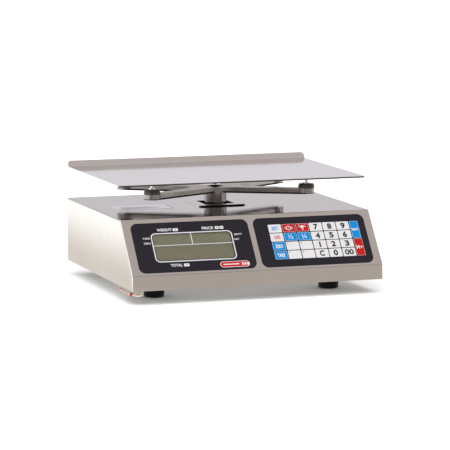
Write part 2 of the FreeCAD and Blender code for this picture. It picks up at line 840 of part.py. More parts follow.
def make_load_cell():
    beam = box(
        "cell_beam", ("cell_free_end", "cell_free_end + cell_long"),
        (CELL_LOW_Y, CELL_HIGH_Y), ("cell_under", CELL_TOP),
    )
    # the two joined bores that leave thin bending sections above and below
    middle = "cell_under + cell_tall / 2"
    near_bore = "cell_free_end + cell_bore_start"
    places = (near_bore, f"{near_bore} + cell_bore_apart")
    bores = [
        cylinder(f"cell_bore_{number}", "cell_bore", "cell_wide + 2",
                 x, f"{CELL_HIGH_Y} + 1", middle, TO_FRONT)
        for number, x in enumerate(places)
    ]
    slot = box("cell_slot", places, (f"{CELL_LOW_Y} - 1", f"{CELL_HIGH_Y} + 1"),
               (f"{middle} - cell_slot_tall / 2", f"{middle} + cell_slot_tall / 2"))
    bolt_hole = cylinder("cell_post_thread", "bolt_bore - 0.2", "post_thread_deep + 1",
                         "0", "post_place", f"{CELL_TOP} - post_thread_deep")
    fixing_holes = [
        cylinder(f"cell_fixing_{number}", "cell_thread", "cell_thread_deep + 1",
                 *place, "cell_under - 1")
        for number, place in enumerate(CELL_BOLT_PLACES)
    ]
    keep("load_cell", cut("load_cell", beam, *bores, slot, bolt_hole, *fixing_holes))

    block = box(
        "cell_block", ("cell_free_end + cell_long - block_long", "cell_free_end + cell_long"),
        (CELL_LOW_Y, CELL_HIGH_Y), (BASE_TOP, "cell_under"),
    )
    block_holes = [
        cylinder(f"block_hole_{number}", "cell_bolt_hole", "cell_under", *place, f"{BASE_TOP} - 2")
        for number, place in enumerate(CELL_BOLT_PLACES)
    ]
    keep("cell_mounting_block", cut("cell_mounting_block", block, *block_holes))

    bolts = []
    for number, place in enumerate(CELL_BOLT_PLACES):
        shank = cylinder(f"cell_bolt_shank_{number}", "cell_bolt_radius",
                         "cell_under + cell_bolt_reach - base_under", *place, "base_under")
        head = hexagon(f"cell_bolt_head_{number}", "cell_bolt_flat", "cell_bolt_head",
                       *place, "base_under - cell_bolt_head")
        bolts.append(fuse(f"cell_bolt_{number}", [shank, head]))
    keep("cell_bolts", group("cell_bolts", bolts))

    stops = []
    for number, place in enumerate(STOP_PLACES):
        top = "cell_under - stop_gap"
        screw = cylinder(f"stop_screw_{number}", "stop_radius", f"{top} - (base_under - 1)",
                         *place, "base_under - 1")
        nut = hexagon(f"stop_nut_{number}", "stop_flat", "stop_nut_tall", *place, BASE_TOP)
        stops.append(fuse(f"stop_{number}", [screw, nut]))
    keep("overload_stops", group("overload_stops", stops))


def hexagon(name, flat_radius, tall, x, y, z):
    """A six-sided prism, by the distance from its middle to a flat."""
    obj = doc.addObject("Part::Prism", name)
    obj.Polygon = 6
    bind(obj, "Circumradius", f"({flat_radius}) / cos(30)")
    bind(obj, "Height", tall)
    return put(obj, x, y, z)


# ---------------------------------------------------------------- post and spider
HUB_TOP = "(hub_under + arm_tall)"
BOSS_TOP = "(boss_under + boss_tall)"
BOSSES = [
    (f"{x} * boss_across", f"post_place + {y} * boss_along") for y in SIDES for x in SIDES
]


def make_post():
    body = turned("post", [
        ("bolt_bore", CELL_TOP),
        ("post_flange", CELL_TOP),
        ("post_flange", f"{CELL_TOP} + flange_thick"),
        ("post_radius", f"{CELL_TOP} + flange_thick + 1"),
        ("post_radius", "hub_under"),
        ("bolt_bore", "hub_under"),
    ])
    put(body, y="post_place")
    keep("post", body)


def arm_corner(x, y, side):
    """One corner of an arm's end in the spider's plan, on the given side of its centre line."""
    reach = "sqrt(boss_across ^ 2 + boss_along ^ 2)"
    return (
        f"{x} * boss_across - {side} * {y} * boss_along / {reach} * arm_tip / 2",
        f"{y} * boss_along + {side} * {x} * boss_across / {reach} * arm_tip / 2",
    )


def make_spider():
    """The cast cross: a flat X with blended waists, a rib under each arm, and four bosses."""
    body = doc.addObject("PartDesign::Body", "spider_cross")
    sketch = new_sketch(body, "spider_plan", "XY_Plane")
    corners = []
    for (x, y), waist in zip(
        ((1, 1), (-1, 1), (-1, -1), (1, -1)),
        (("0", "waist_along"), ("-waist_across", "0"), ("0", "-waist_along"), ("waist_across", "0")),
    ):
        corners += [arm_corner(x, y, -1), arm_corner(x, y, 1), waist]
    outline(sketch, corners)
    slab = pad_up(body, sketch, "arm_tall")
    wide = round_edges(
        body, slab, "waist_blend",
        lambda middle, along: upright(middle, along) and abs(middle.x) < 1,
    )
    round_edges(
        body, wide, "waist_corner",
        lambda middle, along: upright(middle, along) and abs(middle.y) < 1,
    )
    put(body, y="post_place", z="hub_under")

    arm_long = math.hypot(size("boss_across"), size("boss_along"))
    ribs = []
    for number, (x, y) in enumerate((x, y) for y in SIDES for x in SIDES):
        heading = math.degrees(math.atan2(y * size("boss_along"), x * size("boss_across")))
        # a wedge runs along its own Y axis, from the hub's middle to the boss
        rib = doc.addObject("Part::Wedge", f"rib_{number}")
        rib.Ymin, rib.Ymax = 0, arm_long
        for prop, wide in (("X", "rib_root"), ("X2", "arm_tip - 2 * rib_inset")):
            bind(rib, f"{prop}min", f"-({wide}) / 2")
            bind(rib, f"{prop}max", f"({wide}) / 2")
        for prop in ("Z", "Z2"):
            bind(rib, f"{prop}min", 0)
            bind(rib, f"{prop}max", "rib_tall")
        put(rib, 0, "post_place", "hub_under - rib_tall", (Vector(0, 0, 1), heading - 90))
        ribs.append(rib)
    post_room = cylinder("rib_stop", "post_radius + 1.5", "hub_under",
                         0, "post_place", "boss_under - hub_under / 2")
    rib_set = cut("spider_ribs", fuse("rib_cross", ribs), post_room)
    bosses = [
        cylinder(f"boss_{number}", "boss_radius", "boss_tall", *place, "boss_under")
        for number, place in enumerate(BOSSES)
    ]
    holes = [
        cylinder("hub_bore", "bolt_bore", "arm_tall * 3", 0, "post_place", "hub_under - arm_tall"),
        cylinder("hub_recess", "recess_radius", "recess_deep + 1",
                 0, "post_place", f"{HUB_TOP} - recess_deep"),
    ]
    holes += [
        cylinder(f"boss_hole_{number}", "pin_hole", "5", *place, f"{BOSS_TOP} - 4")
        for number, place in enumerate(BOSSES)
    ]
    keep("spider", cut("spider", fuse("spider_casting", [body, rib_set, *bosses]), *holes))

    seat = f"({HUB_TOP} - recess_deep)"
    shank = cylinder("spider_bolt_shank", "bolt_radius", f"{seat} - ({CELL_TOP} - post_bolt_deep)",
                     0, "post_place", f"{CELL_TOP} - post_bolt_deep")
    head = cylinder("spider_bolt_head", "recess_radius - 1.7", "4.8", 0, "post_place", seat)
    key = hexagon("spider_bolt_key", "2.5", "3", 0, "post_place", f"{seat} + 2.4")
    keep("spider_bolt", cut("spider_bolt", fuse("spider_bolt_solid", [shank, head]), key))


def make_bumpers():
    bumpers = []
    for number, (x, y) in enumerate(BOSSES):
        body = turned(f"bumper_{number}", [
            ("pin_hole", "0"),
            ("boss_radius", "0"),
            ("boss_radius", "bumper_tall / 2"),
            ("boss_radius - 1", "bumper_tall"),
            ("pin_hole", "bumper_tall"),
        ])
        crown = size("bumper_tall") - 0.01
        rim = size("boss_radius") - 1.5
        round_edges(
            body, body.Tip, "bumper_round",
            lambda middle, along: middle.z > crown and abs(middle.x) + abs(middle.y) > rim,
        )
        put(body, x, y, BOSS_TOP)
        bumpers.append(body)
    keep("platter_bumpers", group("platter_bumpers", bumpers))


# ---------------------------------------------------------------- platter
def make_platter():
    body = doc.addObject("PartDesign::Body", "platter_sheet")
    sketch = new_sketch(body, "platter_side", "YZ_Plane")
    lean = "platter_thick * 0.70711"
    bend = "platter_thick * 0.41421"
    under = "platter_top - platter_thick"
    outline(sketch, [
        ("-platter_front", under),
        (f"platter_back + {bend}", under),
        (f"platter_back + lip_reach", f"platter_top + lip_reach - {lean}"),
        (f"platter_back + lip_reach - {lean}", "platter_top + lip_reach"),
        ("platter_back", "platter_top"),
        ("-platter_front", "platter_top"),
    ])
    sheet_pad = pad_up(body, sketch, "platter_width", midplane=True)
    back = size("platter_back")
    top = size("platter_top")
    near = size("platter_thick") * 1.5

    def bend_line(middle, along):
        return abs(along.x) > 1 and abs(middle.y - back) < near and middle.z < top + 0.1

    bends = round_edges(body, sheet_pad, "lip_bend", bend_line)
    lip = back + size("lip_reach") / 2

    def corner(middle, along):
        at_front = middle.y < 0 and upright(middle, along)
        at_lip = middle.y > lip and abs(along.x) < 0.01 and along.y * along.z < -0.5
        return at_front or at_lip

    round_edges(body, bends, "platter_corner", corner)
    pins = []
    for number, (x, y) in enumerate(BOSSES):
        foot = f"{BOSS_TOP} + bumper_tall"
        pins.append(cylinder(f"pin_{number}", "pin_radius", f"{under} + 0.5 - ({foot} - pin_reach)",
                             x, y, f"{foot} - pin_reach"))
        pins.append(cylinder(f"pin_collar_{number}", "pin_collar", "collar_thick", x, y, foot))
        weld = doc.addObject("Part::Cone", f"pin_weld_{number}")
        bind(weld, "Radius1", "pin_radius")
        bind(weld, "Radius2", "pin_radius + 1.5")
        bind(weld, "Height", "1.5")
        pins.append(put(weld, x, y, f"{under} - 1.5"))
    keep("platter", fuse("platter", [body, *pins]))


# ---------------------------------------------------------------- levelling feet
def make_foot(foot, place):
    """A rubber pad with a threaded stud that turns in it."""
    socket_floor = "(pad_tall - pad_lip - swivel_tall - swivel_play)"
    pad = turned(f"foot_pad_{foot}", [
        ("0", "0"),
        ("pad_foot_radius", "0"),
        ("pad_radius", "pad_tall"),
        ("neck_radius + swivel_play", "pad_tall"),
        ("neck_radius + swivel_play", "pad_tall - pad_lip"),
        ("swivel_radius + swivel_play", "pad_tall - pad_lip"),
        ("swivel_radius + swivel_play", socket_floor),
        ("0", socket_floor),
    ])
    floor_rim = size("pad_foot_radius") - 1
    round_edges(
        pad, pad.Tip, "pad_round",
        lambda middle, along: middle.z < 0.01 and abs(middle.x) + abs(middle.y) > floor_rim,
    )
    put(pad, *place)
    keep(f"foot_pad_{foot}", pad)

    disc = cylinder(f"stud_disc_{foot}", "swivel_radius", "swivel_tall", *place, socket_floor)
    neck = cylinder(f"stud_neck_{foot}", "neck_radius", "pad_tall - pad_lip", *place, socket_floor)
    thread = cylinder(f"stud_thread_{foot}", "thread_radius", f"thread_top - {socket_floor}",
                      *place, socket_floor)
    hex_flats = hexagon(f"stud_hex_{foot}", "hex_across / 2", "base_under - pad_tall - 1",
                        *place, "pad_tall + 0.8")
    keep(f"foot_stud_{foot}", fuse(f"foot_stud_{foot}", [disc, neck, thread, hex_flats]))


# ---------------------------------------------------------------- electronics and wiring
# Limits on the base plate, across and along.
MAIN_BOARD = (("-98", "28"), ("62", "138"))
BATTERY = (("-156", "-56"), ("-46", "24"))
# Blocks on the main board: limits across and along, and height over the board.
MAIN_BLOCKS = {
    "main_chip": (("-60", "-40"), ("90", "110"), "2.2"),
    "main_heat_sink": (("-12", "14"), ("118", "134"), "18"),
    "main_relay": (("-92", "-74"), ("70", "84"), "14"),
    "main_socket_left": (("-64", "-40"), ("64", "70"), "main_socket_tall"),
    "main_socket_right": (("-20", "20"), ("64", "70"), "main_socket_tall"),
}
# Capacitors on the main board: radius, height and place.
MAIN_CAPACITORS = {
    "main_capacitor": ("6", "16", "-26", "104"),
    "main_capacitor_small": ("4", "11", "-26", "88"),
}


def make_electronics():
    board_under = f"({BASE_TOP} + main_board_rise)"
    board_top = f"({board_under} + board_thick)"
    (left, right), (front, back) = MAIN_BOARD
    board = box("main_pcb", (left, right), (front, back), (board_under, board_top))
    inset = "main_pillar_inset"
    pillars = [
        cylinder(f"main_pillar_{x_name}_{y_name}", "main_pillar_radius", "main_board_rise",
                 x, y, BASE_TOP)
        for x_name, x in (("left", f"{left} + {inset}"), ("right", f"{right} - {inset}"))
        for y_name, y in (("front", f"{front} + {inset}"), ("back", f"{back} - {inset}"))
    ]
    parts = [
        box(name, across, along, (board_top, f"{board_top} + {tall}"))
        for name, (across, along, tall) in MAIN_BLOCKS.items()
    ]
    parts += [
        cylinder(name, radius, tall, x, y, board_top)
        for name, (radius, tall, x, y) in MAIN_CAPACITORS.items()
    ]
    keep("main_board", fuse("main_board", [board, *pillars, *parts]))

    (left, right), (front, back) = BATTERY
    case_top = f"{BASE_TOP} + battery_case_tall"
    case = rounded("battery_round", box(
        "battery_case", (left, right), (front, back), (BASE_TOP, case_top),
    ), "case_bend", upright)
    step = "battery_lid_step"
    lid_top = f"{case_top} + battery_lid_tall"
    lid = box("battery_lid", (f"{left} + {step}", f"{right} - {step}"),
              (f"{front} + {step}", f"{back} - {step}"), (case_top, lid_top))
    tabs = [
        box(f"battery_tab_{name}", (f"{x} - battery_tab_wide / 2", f"{x} + battery_tab_wide / 2"),
            (f"{front} + battery_tab_back", f"{front} + battery_tab_back + battery_tab_thick"),
            (lid_top, f"{lid_top} + battery_tab_tall"))
        for name, x in (
            ("left", f"{left} + battery_tab_inset"), ("right", f"{right} - battery_tab_inset"),
        )
    ]
    keep("battery", fuse("battery", [case, lid, *tabs]))


def wire(points, radius):
    """A round cable along straight runs joined by tangent arcs."""
    points = [Vector(*point) for point in points]
    edges, start = [], points[0]
    for before, corner, after in zip(points, points[1:], points[2:]):
        into = (corner - before).normalize()
        out = (after - corner).normalize()
        turn = into.getAngle(out)
        shorter = min((corner - before).Length, (after - corner).Length)
        setback = 0.45 * shorter
        bend = setback / math.tan(turn / 2)
        enter, leave = corner - into * setback, corner + out * setback
        inward = (out - into).normalize()
        reach = bend / math.cos(turn / 2) - bend
        middle = corner + inward * reach
        edges.append(Part.LineSegment(start, enter).toShape())
        edges.append(Part.Arc(enter, middle, leave).toShape())
        start = leave
    edges.append(Part.LineSegment(start, points[-1]).toShape())
    ring = Part.Circle(points[0], points[1] - points[0], radius).toShape()
    pipe = Part.BRepOffsetAPI.MakePipeShell(Part.Wire(edges))
    pipe.add(Part.Wire([ring]))
    pipe.build()
    pipe.makeSolid()
    return pipe.shape()


def make_harness():
    """Cables from the main board to the cell, both displays, keypad, battery and jack."""
    deck = size("base_under") + size("base_thick")
    socket_top = deck + size("main_board_rise") + size("board_thick") + size("main_socket_tall")
    up = socket_top + 12
    display = PANEL.multVec(Vector(
        size("window_mid") + 32, size("window_foot") + 7.5,
        size("display_board_face") - size("board_thick") - size("socket_deep"),
    ))
    keypad = PANEL.multVec(Vector(
        size("keypad_mid"), size("key_foot") + 7.5,
        size("keypad_board_face") - size("board_thick") - size("socket_deep"),
    ))
    inward = PANEL.Rotation.multVec(Vector(0, 0, -16))
    rear_socket = Vector(4, size("case_depth") / 2 - 11, size("rear_middle") - 14)
    jack_back = size("case_depth") / 2 - size("jack_deep")
    jack_end = Vector(size("jack_place"), jack_back, size("jack_middle"))
    battery_top = deck + sum(
        size(f"battery_{name}_tall") for name in ("case", "lid", "tab")
    )
    cell_side = Vector(60, size("post_place") + size("cell_wide") / 2, size("cell_under") + 5)
    ribbon, cable, lead = 2.0, 1.6, 1.4
    # each cable's way-points from its plug to the main board, and its radius
    routes = [
        ([display, display + inward, (-30, -70, deck + 45.5), (-42, -10, deck + 57.5),
          (-50, 40, deck + 49.5), (-52, 67, up + 6), (-52, 67, socket_top)], ribbon),
        ([keypad, keypad + inward, (70, -84, deck + 23.5), (66, -40, deck + 19.5),
          (40, -10, deck + 45.5), (22, 30, deck + 55.5), (12, 60, deck + 39.5),
          (12, 67, socket_top + 8), (12, 67, socket_top)], ribbon),
        ([rear_socket, rear_socket + Vector(0, -10, 2), (6, 122, deck + 39.5), (2, 96, deck + 41.5),
          (0, 74, deck + 33.5), (0, 67, socket_top + 7), (0, 67, socket_top)], cable),
        ([cell_side, cell_side + Vector(0, 9, 0), (46, 66, deck + 23.5), (28, 76, deck + 29.5),
          (8, 74, deck + 27.5), (-10, 68, deck + 25.5), (-12, 67, socket_top)], lead),
        ([jack_end, jack_end + Vector(0, -12, 0), (112, 118, deck + 27.5), (84, 112, deck + 29.5),
          (54, 96, deck + 31.5), (32, 78, deck + 29.5), (18, 68, deck + 25.5),
          (18, 67, socket_top)], lead),
        ([(-72, -37.6, battery_top), (-72, -30, battery_top + 7), (-68, -6, battery_top + 8),
          (-62, 22, battery_top + 2), (-60, 46, deck + 45.5), (-60, 64, deck + 29.5),
          (-60, 67, socket_top)], lead),
    ]
    tubes = [wire(points, radius) for points, radius in routes]
    harness = doc.addObject("Part::Feature", "wiring_harness")
    harness.Shape = Part.makeCompound(tubes)
    return keep("wiring_harness", harness)


def make_seal():
    """The inspector's seal on the lower front left corner: a wire with a bead and a tag."""
    left = -size("case_width") / 2
    front = -size("case_depth") / 2
    rim = size("rim_height")
    route = [
        (left + 3.4, front + 52, rim + 0.6),
        (left + 2.4, front + 47, rim - 1.6),
        (left + 1.6, front + 38, rim - 3.2),
        (left + 1.2, front + 22, rim - 3.5),
        (left + 1.8, front + 8, rim - 3.8),
        (left + 5.0, front + 2.0, rim - 4.2),
        (left + 10.5, front + 1.9, rim - 4.0),
        (left + 14.5, front + 4.2, rim - 2.6),
        (left + 15.6, front + 8, rim + 0.6),
    ]
    strap = wire(route, 1.2)
    bead = Part.makeSphere(2.7, Vector(left + 2.9, front + 4.0, rim - 4.2))
    tag = Part.makeBox(7.5, 1.2, 5, Vector(left + 6.5, front + 1.2, rim - 6.6))
    seal = doc.addObject("Part::Feature", "inspection_seal")
    seal.Shape = strap.fuse([bead, tag]).removeSplitter()
    return keep("inspection_seal", seal)


make_top_cover()
make_base_plate()
make_cover_screws()
make_display()
make_keypad()
make_rear_display()
make_power_jack()
make_load_cell()
make_post()
make_spider()
make_bumpers()
make_platter()
for foot, place in FEET.items():
    make_foot(foot, place)
make_electronics()
make_harness()
make_seal()
doc.recompute()

# ---------------------------------------------------------------- tests and files
for obj in doc.Objects:
    if {"Invalid", "Error"} & set(obj.State):
        raise RuntimeError(f"{obj.Name} is {obj.State}")
for name, obj in nodes.items():
    if obj.Shape.isNull() or not obj.Shape.isValid() or not obj.Shape.Solids:
        raise RuntimeError(f"{name} has no valid solid")
os.makedirs("parts", exist_ok=True)
for name, obj in nodes.items():
    obj.Shape.exportStep(f"parts/{name}.step")
    box_size = obj.Shape.BoundBox
    print(f"{name:24s} {len(obj.Shape.Solids):2d} solids  {obj.Shape.Volume:12.1f} mm3  "
          f"x {box_size.XMin:7.1f} {box_size.XMax:7.1f}  y {box_size.YMin:7.1f} {box_size.YMax:7.1f}  "
          f"z {box_size.ZMin:6.1f} {box_size.ZMax:6.1f}")
print(len(nodes), "sub-parts")
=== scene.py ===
"""Retail price scale: finishes, printed graphics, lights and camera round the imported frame."""
import json
import math

import bmesh
import bpy
from mathutils import Matrix, Vector


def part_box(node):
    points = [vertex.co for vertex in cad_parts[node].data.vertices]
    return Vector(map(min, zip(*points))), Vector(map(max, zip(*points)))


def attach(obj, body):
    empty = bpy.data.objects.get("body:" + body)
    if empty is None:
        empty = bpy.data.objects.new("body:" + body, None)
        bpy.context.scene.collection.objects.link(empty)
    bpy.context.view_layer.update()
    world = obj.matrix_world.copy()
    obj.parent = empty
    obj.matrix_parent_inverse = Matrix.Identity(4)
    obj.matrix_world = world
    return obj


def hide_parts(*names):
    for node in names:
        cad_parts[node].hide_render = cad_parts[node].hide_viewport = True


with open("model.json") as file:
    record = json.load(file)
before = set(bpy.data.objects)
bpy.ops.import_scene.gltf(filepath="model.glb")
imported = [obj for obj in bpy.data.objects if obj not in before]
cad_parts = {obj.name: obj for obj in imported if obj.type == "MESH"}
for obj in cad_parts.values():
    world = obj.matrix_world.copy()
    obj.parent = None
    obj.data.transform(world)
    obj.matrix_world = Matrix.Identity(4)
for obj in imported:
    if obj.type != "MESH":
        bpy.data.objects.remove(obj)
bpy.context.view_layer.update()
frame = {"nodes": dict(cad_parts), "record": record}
nodes = frame["nodes"]

MM = 0.001
PANEL_TILT = math.radians(51.06)
UP_SLOPE = Vector((0, math.cos(PANEL_TILT), math.sin(PANEL_TILT)))
PANEL_OUT = Vector((0, -math.sin(PANEL_TILT), math.cos(PANEL_TILT)))
INK = 0.05 * MM  # thickness of one printed coat
HAIR = 0.01 * MM  # gap that keeps a print off what it lies on
LABEL_THICK = 0.15 * MM
TURNED_DOWN = Matrix.Diagonal((1, -1, -1, 1))
CAPITAL_HEIGHT = 0.73  # of the font's size
PATCH_EDGE = 0.3 * MM  # half the width over which a patch of another colour fades out
COLLAR_RISE = 1.8 * MM  # of the rim round the post's opening, over the rest of the cover


# ------------------------------------------------------------------ node helpers
class Graph:
    """Short calls for building a node tree."""

    def __init__(self, tree):
        self.tree = tree
        self.new = tree.nodes.new
        self.join = tree.links.new

    @staticmethod
    def set(node, socket, value):
        node.inputs[socket].default_value = value

    def feed(self, node, socket, value):
        """Gives a socket a number, a colour or another node's output."""
        if isinstance(value, tuple):
            node.inputs[socket].default_value = (*value, 1.0)
        elif isinstance(value, float):
            node.inputs[socket].default_value = value
        else:
            self.join(value, node.inputs[socket])

    def span(self, source, low, high, from_low=0.3, from_high=0.7, smooth=False):
        node = self.new("ShaderNodeMapRange")
        node.interpolation_type = "SMOOTHSTEP" if smooth else "LINEAR"
        for socket, value in (("From Min", from_low), ("From Max", from_high),
                              ("To Min", low), ("To Max", high)):
            self.set(node, socket, value)
        self.join(source, node.inputs["Value"])
        return node.outputs["Result"]

    def maths(self, operation, first, second=0.0):
        node = self.new("ShaderNodeMath")
        node.operation = operation
        self.feed(node, 0, first)
        self.feed(node, 1, second)
        return node.outputs[0]

    def blend(self, factor, first, second):
        """Colour that goes from first to second with factor."""
        node = self.new("ShaderNodeMix")
        node.data_type = "RGBA"
        self.join(factor, node.inputs[0])
        self.feed(node, 6, first)
        self.feed(node, 7, second)
        return node.outputs[2]

    def either(self, factor, first, second):
        """Number that goes from first to second with factor."""
        node = self.new("ShaderNodeMix")
        self.join(factor, node.inputs[0])
        self.feed(node, 2, first)
        self.feed(node, 3, second)
        return node.outputs[0]

    def parts_of(self, vector):
        split = self.new("ShaderNodeSeparateXYZ")
        self.join(vector, split.inputs[0])
        return split.outputs


class Finish(Graph):
    """A material with a Principled shader and short calls for what feeds it."""

    def __init__(self, name, colour, roughness, metallic=0.0, specular=0.5, coat=0.0):
        self.material = bpy.data.materials.new(name)
        self.material.use_nodes = True
        super().__init__(self.material.node_tree)
        self.shader = self.tree.nodes["Principled BSDF"]
        for socket, value in (("Base Color", (*colour, 1.0)), ("Roughness", roughness),
                              ("Metallic", metallic), ("Specular IOR Level", specular),
                              ("Coat Weight", coat), ("Coat Roughness", 0.1)):
            self.set(self.shader, socket, value)
        coordinates = self.new("ShaderNodeTexCoord")
        self.place = coordinates.outputs["Object"]
        self.normal = coordinates.outputs["Normal"]

    def noise(self, scale, detail=3.0, roughness=0.55):
        """Noise whose cells are 1/scale metres along each axis."""
        stretch = self.new("ShaderNodeMapping")
        self.set(stretch, "Scale", scale)
        self.join(self.place, stretch.inputs["Vector"])
        node = self.new("ShaderNodeTexNoise")
        self.set(node, "Scale", 1.0)
        self.set(node, "Detail", detail)
        self.set(node, "Roughness", roughness)
        self.join(stretch.outputs["Vector"], node.inputs["Vector"])
        return node.outputs["Fac"]

    def colour(self, source):
        self.join(source, self.shader.inputs["Base Color"])

    def roughness(self, source):
        self.join(source, self.shader.inputs["Roughness"])

    def bump(self, source, depth):
        node = self.new("ShaderNodeBump")
        self.set(node, "Distance", depth)
        self.set(node, "Strength", 1.0)
        self.join(source, node.inputs["Height"])
        self.join(node.outputs["Normal"], self.shader.inputs["Normal"])

    def facing(self, axis):
        """How squarely the surface faces along one of its own axes, either way."""
        return self.maths("ABSOLUTE", self.parts_of(self.normal)[axis])


def shade(colour, factor):
    return tuple(min(1.0, channel * factor) for channel in colour)


def brushed(name, colour, roughness, painted_shade_band, grain=1400.0, variation=0.05, grazing=1.0):
    """Sheet steel brushed along its width, with handling smudges in its gloss; on the side walls
    the grain runs from front to back.  Cut edges that face front or back between two given
    levels, (low, high, tint), are painted darker and duller: painted shade."""
    stroke, depth, edge_gloss = 9.0, 0.000004, 0.5
    t = Finish(name, colour, roughness, metallic=1.0)
    t.set(t.shader, "Specular Tint", (grazing, grazing, grazing, 1.0))
    along_x = t.noise((stroke, grain, grain), detail=4.0, roughness=0.7)
    along_y = t.noise((grain, stroke, grain), detail=4.0, roughness=0.7)
    side = t.span(t.facing("X"), 0.0, 1.0, 0.6, 0.8)
    streaks = t.either(side, along_x, along_y)
    cloud = t.noise((14.0,) * 3, detail=2.0)
    metal = t.blend(t.span(t.maths("ADD", streaks, cloud), 0.0, 1.0, 0.7, 1.3),
                    shade(colour, 1.0 - variation), shade(colour, 1.0 + variation))
    smudges = t.span(t.noise((26.0, 34.0, 26.0), detail=5.0, roughness=0.6), 0.0, 0.035, 0.52, 0.72)
    gloss = t.maths("ADD", t.span(streaks, roughness * 0.8, roughness * 1.25), smudges)
    # painted shade: cut edges that face front or back between low and high take the dark tint
    low, high, tint = painted_shade_band
    level = t.parts_of(t.place)["Z"]
    within = t.maths("MULTIPLY", t.maths("GREATER_THAN", level, low), t.maths("LESS_THAN", level, high))
    edge = t.maths("MULTIPLY", within, t.span(t.facing("Y"), 0.0, 1.0, 0.5, 0.8))
    t.colour(t.blend(edge, metal, tint))
    t.roughness(t.either(edge, gloss, edge_gloss))
    t.bump(streaks, depth)
    return t.material


def plated(name, colour, roughness, grain, depth=0.00001, variation=0.08, turned=False, spot=None,
           painted_shade_below=None):
    """Plated, cast or turned metal with a fine grain and slow clouds; the grain of turned metal
    runs round it.  A spot, (centre, radius, tint, gloss), has its own colour and roughness, and so
    have the upright faces that lie lower than a level, (level, tint, gloss).  These are painted
    light: the spot gives painted shade on the hub and a painted highlight on the bolt, and the low
    upright faces get painted shade."""
    t = Finish(name, colour, roughness, metallic=1.0)
    round_it = grain * 0.04
    fine = t.noise((round_it, round_it, grain) if turned else (grain,) * 3, detail=5.0)
    cloud = t.noise((35.0,) * 3, detail=3.0)
    mixed = t.span(t.maths("ADD", fine, cloud), 0.0, 1.0, 0.75, 1.25)
    metal = t.blend(mixed, shade(colour, 1.0 - variation), shade(colour, 1.0 + variation))
    gloss = t.span(fine, roughness * 0.85, min(1.0, roughness * 1.2))

    def below(distance, limit):
        return t.span(distance, 1.0, 0.0, limit - PATCH_EDGE, limit + PATCH_EDGE)

    patches = []
    if spot:
        centre, radius, *look = spot
        apart = t.new("ShaderNodeVectorMath")
        apart.operation = "DISTANCE"
        t.join(t.place, apart.inputs[0])
        apart.inputs[1].default_value = centre
        patches.append((below(apart.outputs["Value"], radius), *look))
    if painted_shade_below:
        level, *look = painted_shade_below
        upright = t.span(t.facing("Z"), 1.0, 0.0)
        patches.append((t.maths("MULTIPLY", below(t.parts_of(t.place)["Z"], level), upright), *look))
    # the patches are painted shade and a painted highlight
    for inside, tint, patch_gloss in patches:
        metal = t.blend(inside, metal, tint)
        gloss = t.either(inside, gloss, patch_gloss)
    t.colour(metal)
    t.roughness(gloss)
    t.bump(fine, depth)
    return t.material


def moulded(name, colour, roughness, grain, depth=0.00001, specular=0.5, variation=0.1):
    """Moulded rubber or plastic, or a printed film, with a fine grain and slight mottling."""
    t = Finish(name, colour, roughness, specular=specular)
    fine = t.noise((grain,) * 3, detail=4.0)
    slow = t.noise((60.0,) * 3, detail=3.0)
    mottled = t.span(slow, 0.0, 1.0)
    t.colour(t.blend(mottled, shade(colour, 1.0 - variation), shade(colour, 1.0 + variation)))
    t.roughness(t.span(fine, roughness * 0.88, min(1.0, roughness * 1.15)))
    t.bump(fine, depth)
    return t.material


def key_face(name, colour, specular=0.1, variation=0.05):
    return moulded(name, colour, 0.38, grain=2200.0, depth=0.000008, specular=specular, variation=variation)


def ink(name, colour, roughness=0.5, specular=0.5, variation=0.1):
    """A thin printed coat."""
    return moulded(name, colour, roughness, grain=3000.0, depth=0.000006, specular=specular,
                   variation=variation)


def lens(name):
    """Clear acrylic over the display: nearly all see-through, with a faint polish haze."""
    t = Finish(name, (0.93, 0.95, 0.90), 0.06)
    t.roughness(t.span(t.noise((300.0,) * 3), 0.05, 0.09))
    t.set(t.shader, "Alpha", 0.04)
    return t.material


def board(name):
    """Solder mask with paler tracks running both ways under it."""
    t = Finish(name, (0.02, 0.16, 0.06), 0.35, coat=0.3)
    cells = t.new("ShaderNodeTexBrick")
    t.set(cells, "Scale", 160.0)
    t.set(cells, "Mortar Size", 0.12)
    for socket, colour in (("Color1", (0.02, 0.15, 0.06)), ("Color2", (0.03, 0.20, 0.08)),
                           ("Mortar", (0.06, 0.32, 0.14))):
        t.feed(cells, socket, colour)
    t.join(t.place, cells.inputs["Vector"])
    t.colour(cells.outputs["Color"])
    t.bump(t.noise((1500.0,) * 3), 0.00001)
    return t.material


